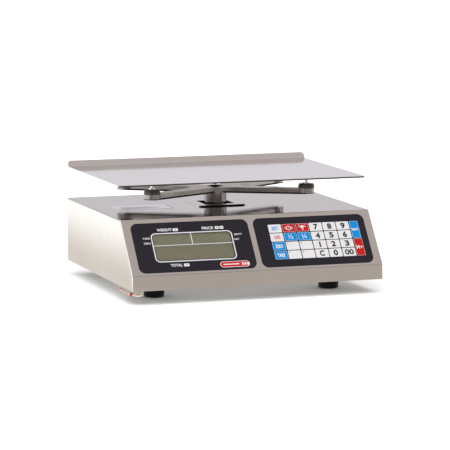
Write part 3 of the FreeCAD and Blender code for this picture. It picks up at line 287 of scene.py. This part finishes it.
CASE_LOW, CASE_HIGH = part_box("top_cover")
COVER_TOP = CASE_HIGH.z - COLLAR_RISE
PLATTER_CENTRE = next(Vector(mount["pos_m"]) for mount in frame["record"]["mounts"]
                      if mount["name"] == "platter_top")
PLATTER_SHEET = 2.0 * MM
# the platter's cut edge below this strip is painted shade
PLATTER_BRIGHT_EDGE = 0.2 * MM  # at the top of its cut edge
HUB_TOP = Vector((0, PLATTER_CENTRE.y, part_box("spider")[1].z))
# painted shade: a dark ring on the top of the spider's hub, round the bolt
HUB_PAINTED_SHADE = (HUB_TOP, 10.5 * MM, (0.012, 0.011, 0.011), 1.0)
# painted shade: the spider's upright faces lower than 6 mm below the hub's top are painted dark
SPIDER_PAINTED_SHADE = (HUB_TOP.z - 6.0 * MM, (0.07, 0.062, 0.06), 0.7)
BOLT_TOP = Vector((0, HUB_TOP.y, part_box("spider_bolt")[1].z))
# painted highlight: a bright disc on the middle of the bolt's top
BOLT_PAINTED_HIGHLIGHT = (BOLT_TOP, 4.2 * MM, (0.95, 0.95, 0.96), 0.12)
FINISHES = {
    # painted shade: the front and back walls of the collar round the post are painted near black
    "case_steel": brushed("case_steel", (0.60, 0.575, 0.56), 0.055, variation=0.045, grazing=0.84,
                          painted_shade_band=(COVER_TOP, CASE_HIGH.z, (0.03, 0.027, 0.027))),
    # painted shade: the platter's front and back cut edges, below a thin top strip, are painted dark
    "platter_steel": brushed("platter_steel", (0.64, 0.62, 0.635), 0.09, grain=2000.0, variation=0.03,
                             painted_shade_band=(PLATTER_CENTRE.z - PLATTER_SHEET, PLATTER_CENTRE.z - PLATTER_BRIGHT_EDGE,
                                   (0.105, 0.088, 0.082))),
    "zinc_steel": plated("zinc_steel", (0.55, 0.56, 0.57), 0.32, grain=900.0),
    "polished_steel": plated("polished_steel", (0.30, 0.275, 0.275), 0.14, grain=1500.0, depth=0.000003,
                             turned=True),
    "cast_aluminium": plated("cast_aluminium", (0.37, 0.35, 0.34), 0.30, grain=700.0, depth=0.00006,
                             variation=0.22, spot=HUB_PAINTED_SHADE, painted_shade_below=SPIDER_PAINTED_SHADE),
    "cell_aluminium": plated("cell_aluminium", (0.66, 0.67, 0.69), 0.30, grain=1200.0),
    "black_rubber": moulded("black_rubber", (0.004, 0.004, 0.005), 0.55, grain=1600.0, depth=0.00003,
                            specular=0.1),
    "black_film": moulded("black_film", (0.007, 0.006, 0.011), 0.42, grain=2600.0, depth=0.000012,
                          specular=0.27),
    "clear_lens": lens("clear_lens"),
    "lcd_grey": moulded("lcd_grey", (0.112, 0.103, 0.042), 0.30, grain=4000.0, depth=0.000002, specular=0.3,
                        variation=0.04),
    "key_white": key_face("key_white", (0.53, 0.53, 0.545), specular=0.2, variation=0.02),
    "key_red": key_face("key_red", (0.36, 0.006, 0.006)),
    "key_blue": key_face("key_blue", (0.0005, 0.185, 0.47)),
    "circuit_board": board("circuit_board"),
    "spring_steel": plated("spring_steel", (0.66, 0.65, 0.63), 0.22, grain=1500.0),
    "battery_case": moulded("battery_case", (0.05, 0.055, 0.065), 0.5, grain=900.0, depth=0.00002),
    "cable_black": moulded("cable_black", (0.02, 0.02, 0.022), 0.45, grain=1200.0),
    "jack_black": moulded("jack_black", (0.015, 0.015, 0.017), 0.4, grain=1500.0),
    "seal_wire": moulded("seal_wire", (0.62, 0.45, 0.27), 0.4, grain=1500.0),
}
for node in nodes.values():
    for slot in node.material_slots:
        slot.material = FINISHES[slot.material.name.split(".")[0]]
nodes["platter_bumpers"].material_slots[0].material = moulded(
    "bumper_rubber", (0.060, 0.054, 0.053), 0.35, grain=1600.0, depth=0.00002, variation=0.2)
# painted shade and a painted highlight: the bolt is painted near black, with a bright disc in its middle
nodes["spider_bolt"].material_slots[0].material = plated(
    "bolt_painted_shade_and_highlight", (0.05, 0.05, 0.05), 0.25, grain=1200.0, spot=BOLT_PAINTED_HIGHLIGHT)

# each look of the added pieces, with the record's slot that it stands for
WHITE = (ink("white_ink", (0.56, 0.56, 0.58), specular=0.2, variation=0.03), "key_white")
BLACK = (ink("black_ink", (0.014, 0.013, 0.014)), "black_film")
RED = (ink("red_ink", (0.40, 0.012, 0.014), 0.45, specular=0.2), "key_red")
BLUE = (ink("blue_ink", (0.001, 0.20, 0.55), 0.45), "key_blue")
GREY = (ink("grey_ink", (0.22, 0.21, 0.21)), "black_film")
LABEL_FILM = (plated("label_film", (0.68, 0.66, 0.68), 0.16, grain=1500.0, depth=0.000003, variation=0.03),
              "key_white")
SEAL_STRAND = (moulded("seal_strand", (0.74, 0.64, 0.48), 0.35, grain=2500.0, variation=0.15), "seal_wire")
SEAL_RED = (moulded("seal_red", (0.40, 0.012, 0.025), 0.35, grain=2500.0), "seal_wire")
SEAL_BRASS = (plated("seal_brass", (0.62, 0.42, 0.20), 0.25, grain=1500.0), "seal_wire")


# ------------------------------------------------------------------ flat graphics
def arc(centre, radius, start, stop, steps=10):
    """Points on an arc, angles in degrees."""
    return [(centre[0] + radius * math.cos(math.radians(start + (stop - start) * i / steps)),
             centre[1] + radius * math.sin(math.radians(start + (stop - start) * i / steps)))
            for i in range(steps + 1)]


def rounded_box(x0, y0, x1, y1, radius):
    """Outline of a box with rounded corners, anticlockwise."""
    corners = ((x1 - radius, y0 + radius, -90), (x1 - radius, y1 - radius, 0),
               (x0 + radius, y1 - radius, 90), (x0 + radius, y0 + radius, 180))
    return [p for x, y, start in corners for p in arc((x, y), radius, start, start + 90, 6)]


def bar(x0, y0, x1, y1, width):
    """Corners of a straight stroke."""
    along = Vector((x1 - x0, y1 - y0)).normalized()
    side = Vector((-along.y, along.x)) * width / 2
    return [(x0 - side.x, y0 - side.y), (x1 - side.x, y1 - side.y),
            (x1 + side.x, y1 + side.y), (x0 + side.x, y0 + side.y)]


def block(bm, outline, thick):
    """Prism on an outline."""
    low = [bm.verts.new((x, y, 0)) for x, y in outline]
    high = [bm.verts.new((x, y, thick)) for x, y in outline]
    bm.faces.new(high)
    bm.faces.new(low[::-1])
    for i in range(len(low)):
        j = (i + 1) % len(low)
        bm.faces.new((low[i], low[j], high[j], high[i]))


def band(bm, outer, inner, thick, closed=True):
    """Prism between two lines of points that run side by side."""
    rows = [[bm.verts.new((x, y, z)) for x, y in line] for line in (outer, inner) for z in (0, thick)]
    low_out, high_out, low_in, high_in = rows
    count = len(outer)
    for i in range(count if closed else count - 1):
        j = (i + 1) % count
        bm.faces.new((high_out[i], high_out[j], high_in[j], high_in[i]))
        bm.faces.new((low_out[j], low_out[i], low_in[i], low_in[j]))
        bm.faces.new((low_out[i], low_out[j], high_out[j], high_out[i]))
        bm.faces.new((low_in[j], low_in[i], high_in[i], high_in[j]))
    if not closed:
        for i in (0, count - 1):
            bm.faces.new((low_out[i], high_out[i], high_in[i], low_in[i]))


def finish_mesh(name, bm, placement, look, body):
    bmesh.ops.recalc_face_normals(bm, faces=bm.faces)
    mesh = bpy.data.meshes.new(name)
    bm.to_mesh(mesh)
    bm.free()
    return settle(bpy.data.objects.new(name, mesh), placement, look, body)


def settle(obj, placement, look, body):
    """Puts a piece in place and gives it the material of its look, (material, slot), and its body; the slot
    is not used.
    """
    material, slot = look
    obj.data.materials.clear()
    obj.data.materials.append(material)
    bpy.context.scene.collection.objects.link(obj)
    obj.matrix_world = placement
    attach(obj, body)
    return obj


def drawing(name, placement, look, body, blocks=(), bands=(), open_bands=(), thick=INK):
    """Printed marks as one piece: filled outlines and outlined strokes."""
    bm = bmesh.new()
    for outline in blocks:
        block(bm, outline, thick)
    for outer, inner in bands:
        band(bm, outer, inner, thick)
    for outer, inner in open_bands:
        band(bm, outer, inner, thick, closed=False)
    return finish_mesh(name, bm, placement, look, body)


def lettering(name, text, placement, look, body, tall, wide, weight):
    """Generic characters, centred on the placement, in millimetres: the height of a capital, the
    width of the whole word, or 0 for the font's own, and how far the strokes are thickened."""
    curve = bpy.data.curves.new(name, "FONT")
    curve.body = text
    curve.align_x, curve.align_y = "CENTER", "CENTER"
    curve.size = tall * MM / CAPITAL_HEIGHT
    curve.offset = weight * MM
    curve.extrude = INK / 2
    curve.resolution_u = 4
    source = bpy.data.objects.new(name + "_text", curve)
    mesh = bpy.data.meshes.new_from_object(source)
    bpy.data.objects.remove(source)
    bpy.data.curves.remove(curve)
    mesh.name = name
    low = Vector(min(v.co[i] for v in mesh.vertices) for i in range(3))
    high = Vector(max(v.co[i] for v in mesh.vertices) for i in range(3))
    middle = (low + high) / 2
    stretch = wide * MM / (high.x - low.x) if wide else 1.0
    for v in mesh.vertices:
        v.co = ((v.co.x - middle.x) * stretch, v.co.y - middle.y, v.co.z - low.z)
    return settle(bpy.data.objects.new(name, mesh), placement, look, body)


class Face:
    """The outer face of a flat node on the sloping panel, measured from its lower left corner."""

    def __init__(self, node):
        corners = [v.co for v in nodes[node].data.vertices]
        left = min(co.x for co in corners)
        low, high = (pick(co.dot(UP_SLOPE) for co in corners) for pick in (min, max))
        self.width = max(co.x for co in corners) - left
        self.length = high - low
        outermost = max(co.dot(PANEL_OUT) for co in corners)
        self.corner = Vector((left, 0, 0)) + UP_SLOPE * low + PANEL_OUT * outermost

    def at(self, along, up, coats=0):
        """Placement on top of a number of printed coats, whose X runs along the panel, Y up its
        slope and Z out of it."""
        lift = max(HAIR, coats * (INK + HAIR))
        origin = self.corner + Vector((along, 0, 0)) + UP_SLOPE * up + PANEL_OUT * lift
        axes = Matrix((Vector((1, 0, 0)), UP_SLOPE, PANEL_OUT)).transposed().to_4x4()
        return Matrix.Translation(origin) @ axes

    def middle(self):
        return self.at(self.width / 2, self.length / 2)


def display_graphics():
    """Frame lines, captions and a plain badge round the display, in millimetres on the film."""
    face = Face("display_overlay")
    here = face.at(0, 0)

    def outline(x, y, wide, tall, radius):
        return rounded_box((x - wide / 2) * MM, (y - tall / 2) * MM, (x + wide / 2) * MM, (y + tall / 2) * MM,
                           radius * MM)

    def stroke(x0, y0, x1, y1, width):
        return bar(x0 * MM, y0 * MM, x1 * MM, y1 * MM, width * MM)

    middle_x, middle_y, wide, tall, line, overlap = 81.0, 37.4, 112.6, 44.6, 1.45, 1
    frame_line = (outline(middle_x, middle_y, wide, tall, 6.6),
                  outline(middle_x, middle_y, wide - 2 * line, tall - 2 * line, 5.2))
    shelf = middle_y + 3.1
    divider = middle_x - 0.8
    strokes = [stroke(middle_x - wide / 2 + overlap, shelf, middle_x + wide / 2 - overlap, shelf, 0.9),
               stroke(divider, shelf, divider, middle_y + tall / 2 - overlap, 1.1)]
    drawing("display_frame_lines", here, WHITE, "housing", strokes, [frame_line])
    captions = (  # name, word, middle across and up, height of a capital, width, thickening
        ("weight", "WEIGHT", 45.4, 64.4, 4.1, 20.6, 0.16), ("price", "PRICE", 105.2, 64.4, 4.1, 15.6, 0.16),
        ("total", "TOTAL", 51.6, 9.8, 4.1, 16.0, 0.16), ("tare", "TARE", 18.2, 52.3, 2.7, 9.6, 0.08),
        ("zero", "ZERO", 18.2, 44.8, 2.7, 9.6, 0.08), ("battery", "BATT", 145.7, 52.8, 2.4, 10.6, 0.08),
        ("net", "NET", 142.4, 45.4, 2.4, 7.0, 0.08))
    for name, text, x, y, *shape in captions:
        lettering(f"caption_{name}", text, face.at(x * MM, y * MM), WHITE, "housing", *shape)
    units = ((60.6, 64.0, 7.4), (118.2, 64.4, 5.4), (124.6, 64.4, 5.4), (65.4, 9.6, 7.4))
    drawing("caption_unit_chips", here, WHITE, "housing",
            [outline(x, y, across, 4.3, 0.9) for x, y, across in units])
    drawing("caption_unit_marks", face.at(0, 0, 1), BLACK, "housing",
            [outline(x, y, 2.6, 0.9, 0.4) for x, y, _ in units])
    badge_x, badge_y = 131.6, 7.4
    drawing("display_badge_edge", here, WHITE, "housing", [outline(badge_x, badge_y, 41.0, 9.2, 4.6)])
    drawing("display_badge", face.at(0, 0, 1), RED, "housing", [outline(badge_x, badge_y, 39.4, 7.8, 3.9)])
    pips = [outline(badge_x + 11.0 + step * 3.6, badge_y, 2.4, 4.4, 1.2) for step in range(3)]
    stripe = outline(badge_x - 5.0, badge_y, 22.0, 1.5, 0.7)
    drawing("display_badge_stripes", face.at(0, 0, 2), WHITE, "housing", [*pips, stripe])


KEY_WORDS = {
    **dict(zip(("zero", "one", "two", "three", "four", "five", "six", "seven", "eight", "nine"),
               "0123456789")),
    "double_zero": "00", "clear": "C", "half": "\u00bd", "quarter": "\u00bc", "weigh_mode": "SET",
    "change": "CHG", "zero_mode": "ZERO", "tare": "TARE", "print": "PRINT", "total": "M+",
}
KEY_MARKS = {  # height of a capital, width of the word and thickening of the strokes, in millimetres
    "half": (7.0, 6.8, 0.06), "quarter": (7.0, 6.8, 0.06), "weigh_mode": (5.6, 9.2, 0.22),
    "change": (5.6, 9.2, 0.22), "zero_mode": (5.4, 10.8, 0.24), "tare": (5.4, 10.8, 0.24),
    "print": (4.2, 9.8, 0.12), "total": (6.0, 9.0, 0.10), "double_zero": (8.2, 12.6, 0.36),
    "clear": (8.2, 6.6, 0.5), "one": (8.2, 0.0, 0.5),
}
DIGIT_MARK = (8.2, 6.1, 0.5)
COLOURED_WORDS = {"weigh_mode": BLUE, "change": RED}


def is_coloured(key):
    return nodes[key].material_slots[0].material is not FINISHES["key_white"]


def key_frames():
    """White printed line round the edge of each coloured key."""
    for key in nodes:
        if key.startswith("key_") and is_coloured(key):
            face = Face(key)
            outer, inner = (rounded_box(inset, inset, face.width - inset, face.length - inset, radius)
                            for inset, radius in ((0.3 * MM, 0.6 * MM), (0.55 * MM, 0.4 * MM)))
            drawing(key.replace("key_", "frame_"), face.at(0, 0), WHITE, key, bands=[(outer, inner)])


def key_legends():
    """Each legend is printed on its own key and travels with it."""
    for word, text in KEY_WORDS.items():
        key = f"key_{word}"
        look = WHITE if is_coloured(key) else COLOURED_WORDS.get(word, BLACK)
        lettering(f"legend_{word}", text, Face(key).middle(), look, key, *KEY_MARKS.get(word, DIGIT_MARK))
    for number in ("one", "two", "three", "four"):
        key = f"key_preset_{number}"
        face = Face(key)
        dot = arc((2.6 * MM, face.length - 2.8 * MM), 0.75 * MM, 0, 340, 17)
        drawing(f"legend_preset_{number}", face.at(0, 0), BLACK, key, [dot])


def key_symbols():
    """A broken ring for power and a rayed lamp for the light, white on the red keys."""
    half_gap, radius, line, half_wave = 34.0, 3.0 * MM, 1.0 * MM, 24
    ring = [arc((0, 0), radius + side * line / 2, 90 + half_gap, 450 - half_gap, 30) for side in (1, -1)]
    waves = [[arc((0, 0), reach * MM, turn - half_wave, turn + half_wave) for reach in (5.2, 4.4)]
             for turn in (0, 180)]
    drawing("legend_power", Face("key_power").middle(), WHITE, "key_power",
            [bar(0, 0.2 * MM, 0, 4.1 * MM, line)], open_bands=[ring, *waves])
    bulb = arc((0, 0.9 * MM), 2.5 * MM, -50, 230, 24)
    socket = [bar(-1.2 * MM, y * MM, 1.2 * MM, y * MM, 0.7 * MM) for y in (-2.3, -3.4)]
    rays = [bar(x0 * MM, y0 * MM, x1 * MM, y1 * MM, 0.8 * MM)
            for x0, y0, x1, y1 in ((3.5, 0.9, 5.6, 0.9), (-5.6, 0.9, -3.5, 0.9),
                                   (3.0, 2.9, 4.6, 4.2), (-4.6, 4.2, -3.0, 2.9))]
    drawing("legend_light", Face("key_light").middle(), WHITE, "key_light", [bulb, *socket, *rays])


def rear_graphics():
    """The customer's side repeats the frame line and captions round its own display."""
    low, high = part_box("rear_overlay")
    middle = Vector(((low.x + high.x) / 2, high.y, (low.z + high.z) / 2))
    axes = Matrix((Vector((-1, 0, 0)), Vector((0, 0, 1)), Vector((0, 1, 0)))).transposed().to_4x4()

    def place(x, z):
        return Matrix.Translation(middle + Vector((-x * MM, HAIR, z * MM))) @ axes

    frame_line = [rounded_box(-x * MM, -z * MM, x * MM, z * MM, radius * MM)
                  for x, z, radius in ((57, 18, 4.5), (56, 17, 3.6))]
    drawing("rear_frame_line", place(0, 0), WHITE, "housing", bands=[frame_line])
    for name, x, wide in (("weight", -34, 15), ("price", 4, 12), ("total", 38, 12)):
        lettering(f"rear_caption_{name}", name.upper(), place(x, 20.8), WHITE, "housing", 2.9, wide, 0.1)
    bars = [rounded_box((x - 11) * MM, -21.6 * MM, (x + 11) * MM, -20.4 * MM, 0.5 * MM) for x in (-36, 0, 36)]
    drawing("rear_accent_lines", place(0, 0), RED, "housing", bars)


def labels():
    """A pale blank label on the cover, with a dark edge and rows, and a blank rating plate
    underneath, drawn upside down."""
    line_end, row_pitch = 0.4 * MM, 7 * MM
    x0, y0, x1, y1 = -147 * MM, -6 * MM, -68 * MM, 38 * MM
    drawing("cover_label", Matrix.Translation((0, 0, COVER_TOP)), LABEL_FILM, "housing",
            [rounded_box(x0, y0, x1, y1, 2.5 * MM)], thick=LABEL_THICK)
    edge = rounded_box(x1 - 2.2 * MM, y0 + 3 * MM, x1 - 1.2 * MM, y1 - 3 * MM, line_end)
    rows = [rounded_box(x0 + 8 * MM, y0 + 12 * MM + row * row_pitch,
                        x0 + wide * MM, y0 + 13.1 * MM + row * row_pitch, line_end)
            for row, wide in enumerate((58, 64, 50))]
    drawing("cover_label_lines", Matrix.Translation((0, 0, COVER_TOP + LABEL_THICK + HAIR)), GREY, "housing",
            [edge, *rows])
    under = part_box("base_plate")[0].z
    x0, y0, x1, y1 = -60 * MM, 72 * MM, 20 * MM, 112 * MM
    drawing("rating_plate", Matrix.Translation((0, 0, under)) @ TURNED_DOWN, LABEL_FILM, "housing",
            [rounded_box(x0, y0, x1, y1, 2 * MM)], thick=LABEL_THICK)
    rows = [rounded_box(x0 + 6 * MM, y0 + 7 * MM + row * row_pitch,
                        x1 - 6 * MM, y0 + 7.9 * MM + row * row_pitch, line_end)
            for row in range(4)]
    drawing("rating_plate_lines", Matrix.Translation((0, 0, under - LABEL_THICK - HAIR)) @ TURNED_DOWN, GREY,
            "housing", rows)


# ------------------------------------------------------------------ small round pieces
def tube_along(name, points, radius, look):
    """A round strand on a smooth line through the points, fixed to the case."""
    curve = bpy.data.curves.new(name, "CURVE")
    curve.dimensions = "3D"
    curve.bevel_depth = radius
    curve.bevel_resolution = 4
    spline = curve.splines.new("NURBS")
    spline.points.add(len(points) - 1)
    for point, place in zip(spline.points, points):
        point.co = (*place, 1.0)
    spline.order_u = 3
    spline.use_endpoint_u = True
    spline.resolution_u = 4
    source = bpy.data.objects.new(name + "_curve", curve)
    mesh = bpy.data.meshes.new_from_object(source)
    bpy.data.objects.remove(source)
    mesh.name = name
    mesh.shade_smooth()
    return settle(bpy.data.objects.new(name, mesh), Matrix.Identity(4), look, "housing")


def twisted(name, route, offset, radius, pitch, start, look):
    """One strand of a twisted pair, turning at an offset round the straight runs of a route."""
    points = []
    travelled = 0.0
    points_a_turn = 12
    for first, last in zip(route, route[1:]):
        along = last - first
        side = along.cross(Vector((0, 0, 1))).normalized()
        over = side.cross(along).normalized()
        count = max(2, round(along.length / pitch * points_a_turn))
        for i in range(count):
            turn = start + math.tau * (travelled + along.length * i / count) / pitch
            swing = (side * math.cos(turn) + over * math.sin(turn)) * offset
            points.append(first + along * (i / count) + swing)
        travelled += along.length
    return tube_along(name, points, radius, look)


def make_bolt_cap():
    """A small polished dome nut on the spider's bolt."""
    bm = bmesh.new()
    profile = [(2.9, 0.0), (2.9, 0.7), (2.6, 1.4), (2.0, 2.1), (1.1, 2.6), (0.0, 2.8)]
    points = [bm.verts.new((radius * MM, 0, level * MM)) for radius, level in profile]
    edges = [bm.edges.new(pair) for pair in zip(points, points[1:])]
    bmesh.ops.spin(bm, geom=points + edges, axis=(0, 0, 1), cent=(0, 0, 0), angle=math.tau, steps=32,
                   use_merge=True)
    bmesh.ops.remove_doubles(bm, verts=bm.verts, dist=0.01 * MM)
    bmesh.ops.holes_fill(bm, edges=bm.edges)
    polish = plated("bolt_cap", (0.95, 0.95, 0.96), 0.12, grain=1500.0, depth=0.000002)
    seat = BOLT_TOP - Vector((0, 0, 0.4 * MM))
    cap = finish_mesh("spider_bolt_cap", bm, Matrix.Translation(seat), (polish, "zinc_steel"),
                      "load_platform")
    cap.data.shade_smooth()


def make_seal():
    """The inspector's seal: a twisted pair under the side wall's edge, a red bead and a wire loop."""

    def spot(x, y, z):
        """Millimetres right of, behind and above the case's lower front left corner."""
        return CASE_LOW + Vector((x, y, z)) * MM

    route = [spot(3.0, 62, 0.2), spot(2.2, 61.5, -3.0), spot(1.9, 57, -6.3), spot(1.9, 38, -6.6),
             spot(2.3, 16, -5.7)]
    offset, pitch = 0.8 * MM, 9.0 * MM
    twisted("seal_strand_cream", route, offset, 1.1 * MM, pitch, 0.0, SEAL_STRAND)
    twisted("seal_strand_red", route, offset, 0.65 * MM, pitch, math.pi, SEAL_RED)
    loop = [spot(3.6, 11.0, -5.4), spot(6.5, 5.6, -6.6), spot(12.0, 3.2, -6.6), spot(15.6, 5.0, -4.6),
            spot(15.8, 6.6, -2.0), spot(13.0, 6.0, -2.2), spot(8.0, 6.8, -3.2), spot(3.8, 11.0, -5.0)]
    tube_along("seal_loop", loop, 0.9 * MM, SEAL_STRAND)
    tail = [spot(13.0, 6.2, -2.4), spot(14.6, 7.6, -0.6), spot(15.6, 8.2, 0.4)]
    tube_along("seal_tail", tail, 0.6 * MM, SEAL_BRASS)
    bm = bmesh.new()
    bmesh.ops.create_uvsphere(bm, u_segments=32, v_segments=20, radius=2.7 * MM)
    for v in bm.verts:  # crimped: wider, with its top and bottom pressed in
        v.co.x *= 1.18
        v.co.z *= 0.9 if abs(v.co.z) > 1.2 * MM else 1.0
    bead = finish_mesh("seal_bead", bm, Matrix.Translation(spot(3.2, 13.6, -5.4)), SEAL_RED, "housing")
    bead.data.shade_smooth()
    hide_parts("inspection_seal")


display_graphics()
key_legends()
key_symbols()
key_frames()
rear_graphics()
labels()
make_bolt_cap()
make_seal()


# ------------------------------------------------------------------ stage, light and camera
CAMERA_YAW, CAMERA_PITCH, CAMERA_ROLL = (math.radians(a) for a in (-18.55, 7.54, -0.07))
CAMERA_DISTANCE = 3.8958
CAMERA_LENS, CAMERA_SENSOR = 238.02, 36.0
CAMERA_TARGET = Vector((-47.68, -156.3, 101.6)) * MM


def make_camera():
    data = bpy.data.cameras.new("camera")
    data.sensor_width = CAMERA_SENSOR
    data.lens = CAMERA_LENS
    data.clip_end = 100.0
    camera = bpy.data.objects.new("camera", data)
    bpy.context.scene.collection.objects.link(camera)
    back = Vector((math.sin(CAMERA_YAW) * math.cos(CAMERA_PITCH),
                   -math.cos(CAMERA_YAW) * math.cos(CAMERA_PITCH), math.sin(CAMERA_PITCH)))
    camera.location = CAMERA_TARGET + back * CAMERA_DISTANCE
    camera.rotation_mode = "QUATERNION"
    turn = (-back).to_track_quat("-Z", "Y")
    camera.rotation_quaternion = turn @ Matrix.Rotation(CAMERA_ROLL, 3, "Z").to_quaternion()
    bpy.context.scene.camera = camera


def make_floor():
    """White to look at; in reflections it is brightest beside the case, quieter in front of a
    line that runs from the case out to the left and forward, and darkest in front on the left."""
    half_size = 12.0
    bm = bmesh.new()
    bmesh.ops.create_grid(bm, x_segments=1, y_segments=1, size=half_size)
    mesh = bpy.data.meshes.new("floor")
    bm.to_mesh(mesh)
    bm.free()
    material = bpy.data.materials.new("floor")
    material.use_nodes = True
    g = Graph(material.node_tree)
    g.tree.nodes.remove(g.tree.nodes["Principled BSDF"])
    seen = g.new("ShaderNodeBsdfDiffuse")
    g.feed(seen, "Color", (0.92, 0.935, 0.95))
    position = g.new("ShaderNodeNewGeometry").outputs["Position"]
    split = g.parts_of(position)

    def fade(source, start, stop, first, second):
        return g.blend(g.span(source, 0.0, 1.0, start, stop, smooth=True), first, second)

    beside = g.maths("SUBTRACT", g.maths("ABSOLUTE", split["X"]), CASE_HIGH.x)
    side = fade(beside, 0.05, 0.23, (1.10, 1.05, 0.96), (1.80, 1.79, 1.75))
    length = g.new("ShaderNodeVectorMath")
    length.operation = "LENGTH"
    g.join(position, length.inputs[0])
    side = fade(length.outputs["Value"], 1.1, 2.2, side, (0.85, 0.84, 0.86))
    front = fade(split["X"], -0.5, -0.22, (0.22, 0.20, 0.19), (0.64, 0.585, 0.53))
    slant = 0.7  # how far the dividing line runs forward for each metre to the left
    leftward = g.maths("MULTIPLY", g.maths("MINIMUM", split["X"], 0.0), slant)
    lit = fade(g.maths("SUBTRACT", split["Y"], leftward), -0.24, -0.02, front, side)
    # the floor glows with this colour in reflections only: painted light on the metal, not a lamp
    glow = g.new("ShaderNodeEmission")
    g.feed(glow, "Color", lit)
    path = g.new("ShaderNodeLightPath")
    mix = g.new("ShaderNodeMixShader")
    g.join(path.outputs["Is Glossy Ray"], mix.inputs[0])
    g.join(seen.outputs[0], mix.inputs[1])
    g.join(glow.outputs[0], mix.inputs[2])
    g.join(mix.outputs[0], g.tree.nodes["Material Output"].inputs["Surface"])
    mesh.materials.append(material)
    floor = bpy.data.objects.new("floor", mesh)
    bpy.context.scene.collection.objects.link(floor)


def make_world():
    """A soft studio: pale behind, brightest low at both sides of the back, quieter in front."""
    world = bpy.data.worlds.new("studio")
    bpy.context.scene.world = world
    world.use_nodes = True
    world.node_tree.nodes.clear()
    g = Graph(world.node_tree)
    place = g.new("ShaderNodeTexCoord").outputs["Generated"]

    def toward(direction, low, high):
        """From 0 to 1 as the view turns towards a direction, between two cosines."""
        dot = g.new("ShaderNodeVectorMath")
        dot.operation = "DOT_PRODUCT"
        dot.inputs[1].default_value = Vector(direction).normalized()
        g.join(place, dot.inputs[0])
        return g.span(dot.outputs["Value"], 0.0, 1.0, low, high, smooth=True)

    front = g.blend(toward((0, 0, 1), 0.10, 0.34), (0.24, 0.225, 0.22), (0.62, 0.58, 0.56))
    base = g.blend(toward((0, 1, 0), -0.5, 0.8), front, (0.80, 0.775, 0.81))
    overhead = g.blend(toward((0, 1, 0), -0.5, -0.2), (0.585, 0.54, 0.525), (0.71, 0.65, 0.61))
    lifted = g.blend(toward((0, 0, 1), 0.30, 0.85), base, overhead)
    glow = g.blend(toward((-0.62, 0.78, -0.02), 0.86, 0.98), lifted, (1.7, 1.68, 1.62))
    for direction, low, high, colour in (((-0.81, 0.06, 0.58), 0.94, 0.985, (2.2, 2.2, 2.15)),
                                         ((0.97, -0.20, 0.12), 0.84, 0.96, (1.1, 1.05, 1.02))):
        glow = g.blend(toward(direction, low, high), glow, colour)
    path = g.new("ShaderNodeLightPath")
    background = g.new("ShaderNodeBackground")
    g.feed(background, "Color", g.blend(path.outputs["Is Camera Ray"], glow, (1.0, 1.0, 1.0)))
    g.join(background.outputs[0], g.new("ShaderNodeOutputWorld").inputs["Surface"])


def make_sun():
    """Broad soft light from above and in front, which leaves no hot spot in the metal."""
    data = bpy.data.lights.new("overhead_soft", "SUN")
    data.angle = math.radians(80.0)
    data.energy = 2.7
    lamp = bpy.data.objects.new("overhead_soft", data)
    bpy.context.scene.collection.objects.link(lamp)
    lamp.rotation_euler = Vector((0.12, 0.42, -1.0)).to_track_quat("-Z", "Y").to_euler()
    lamp.visible_glossy = False


make_camera()
make_floor()
make_world()
make_sun()
bpy.context.scene.view_settings.view_transform = "Standard"
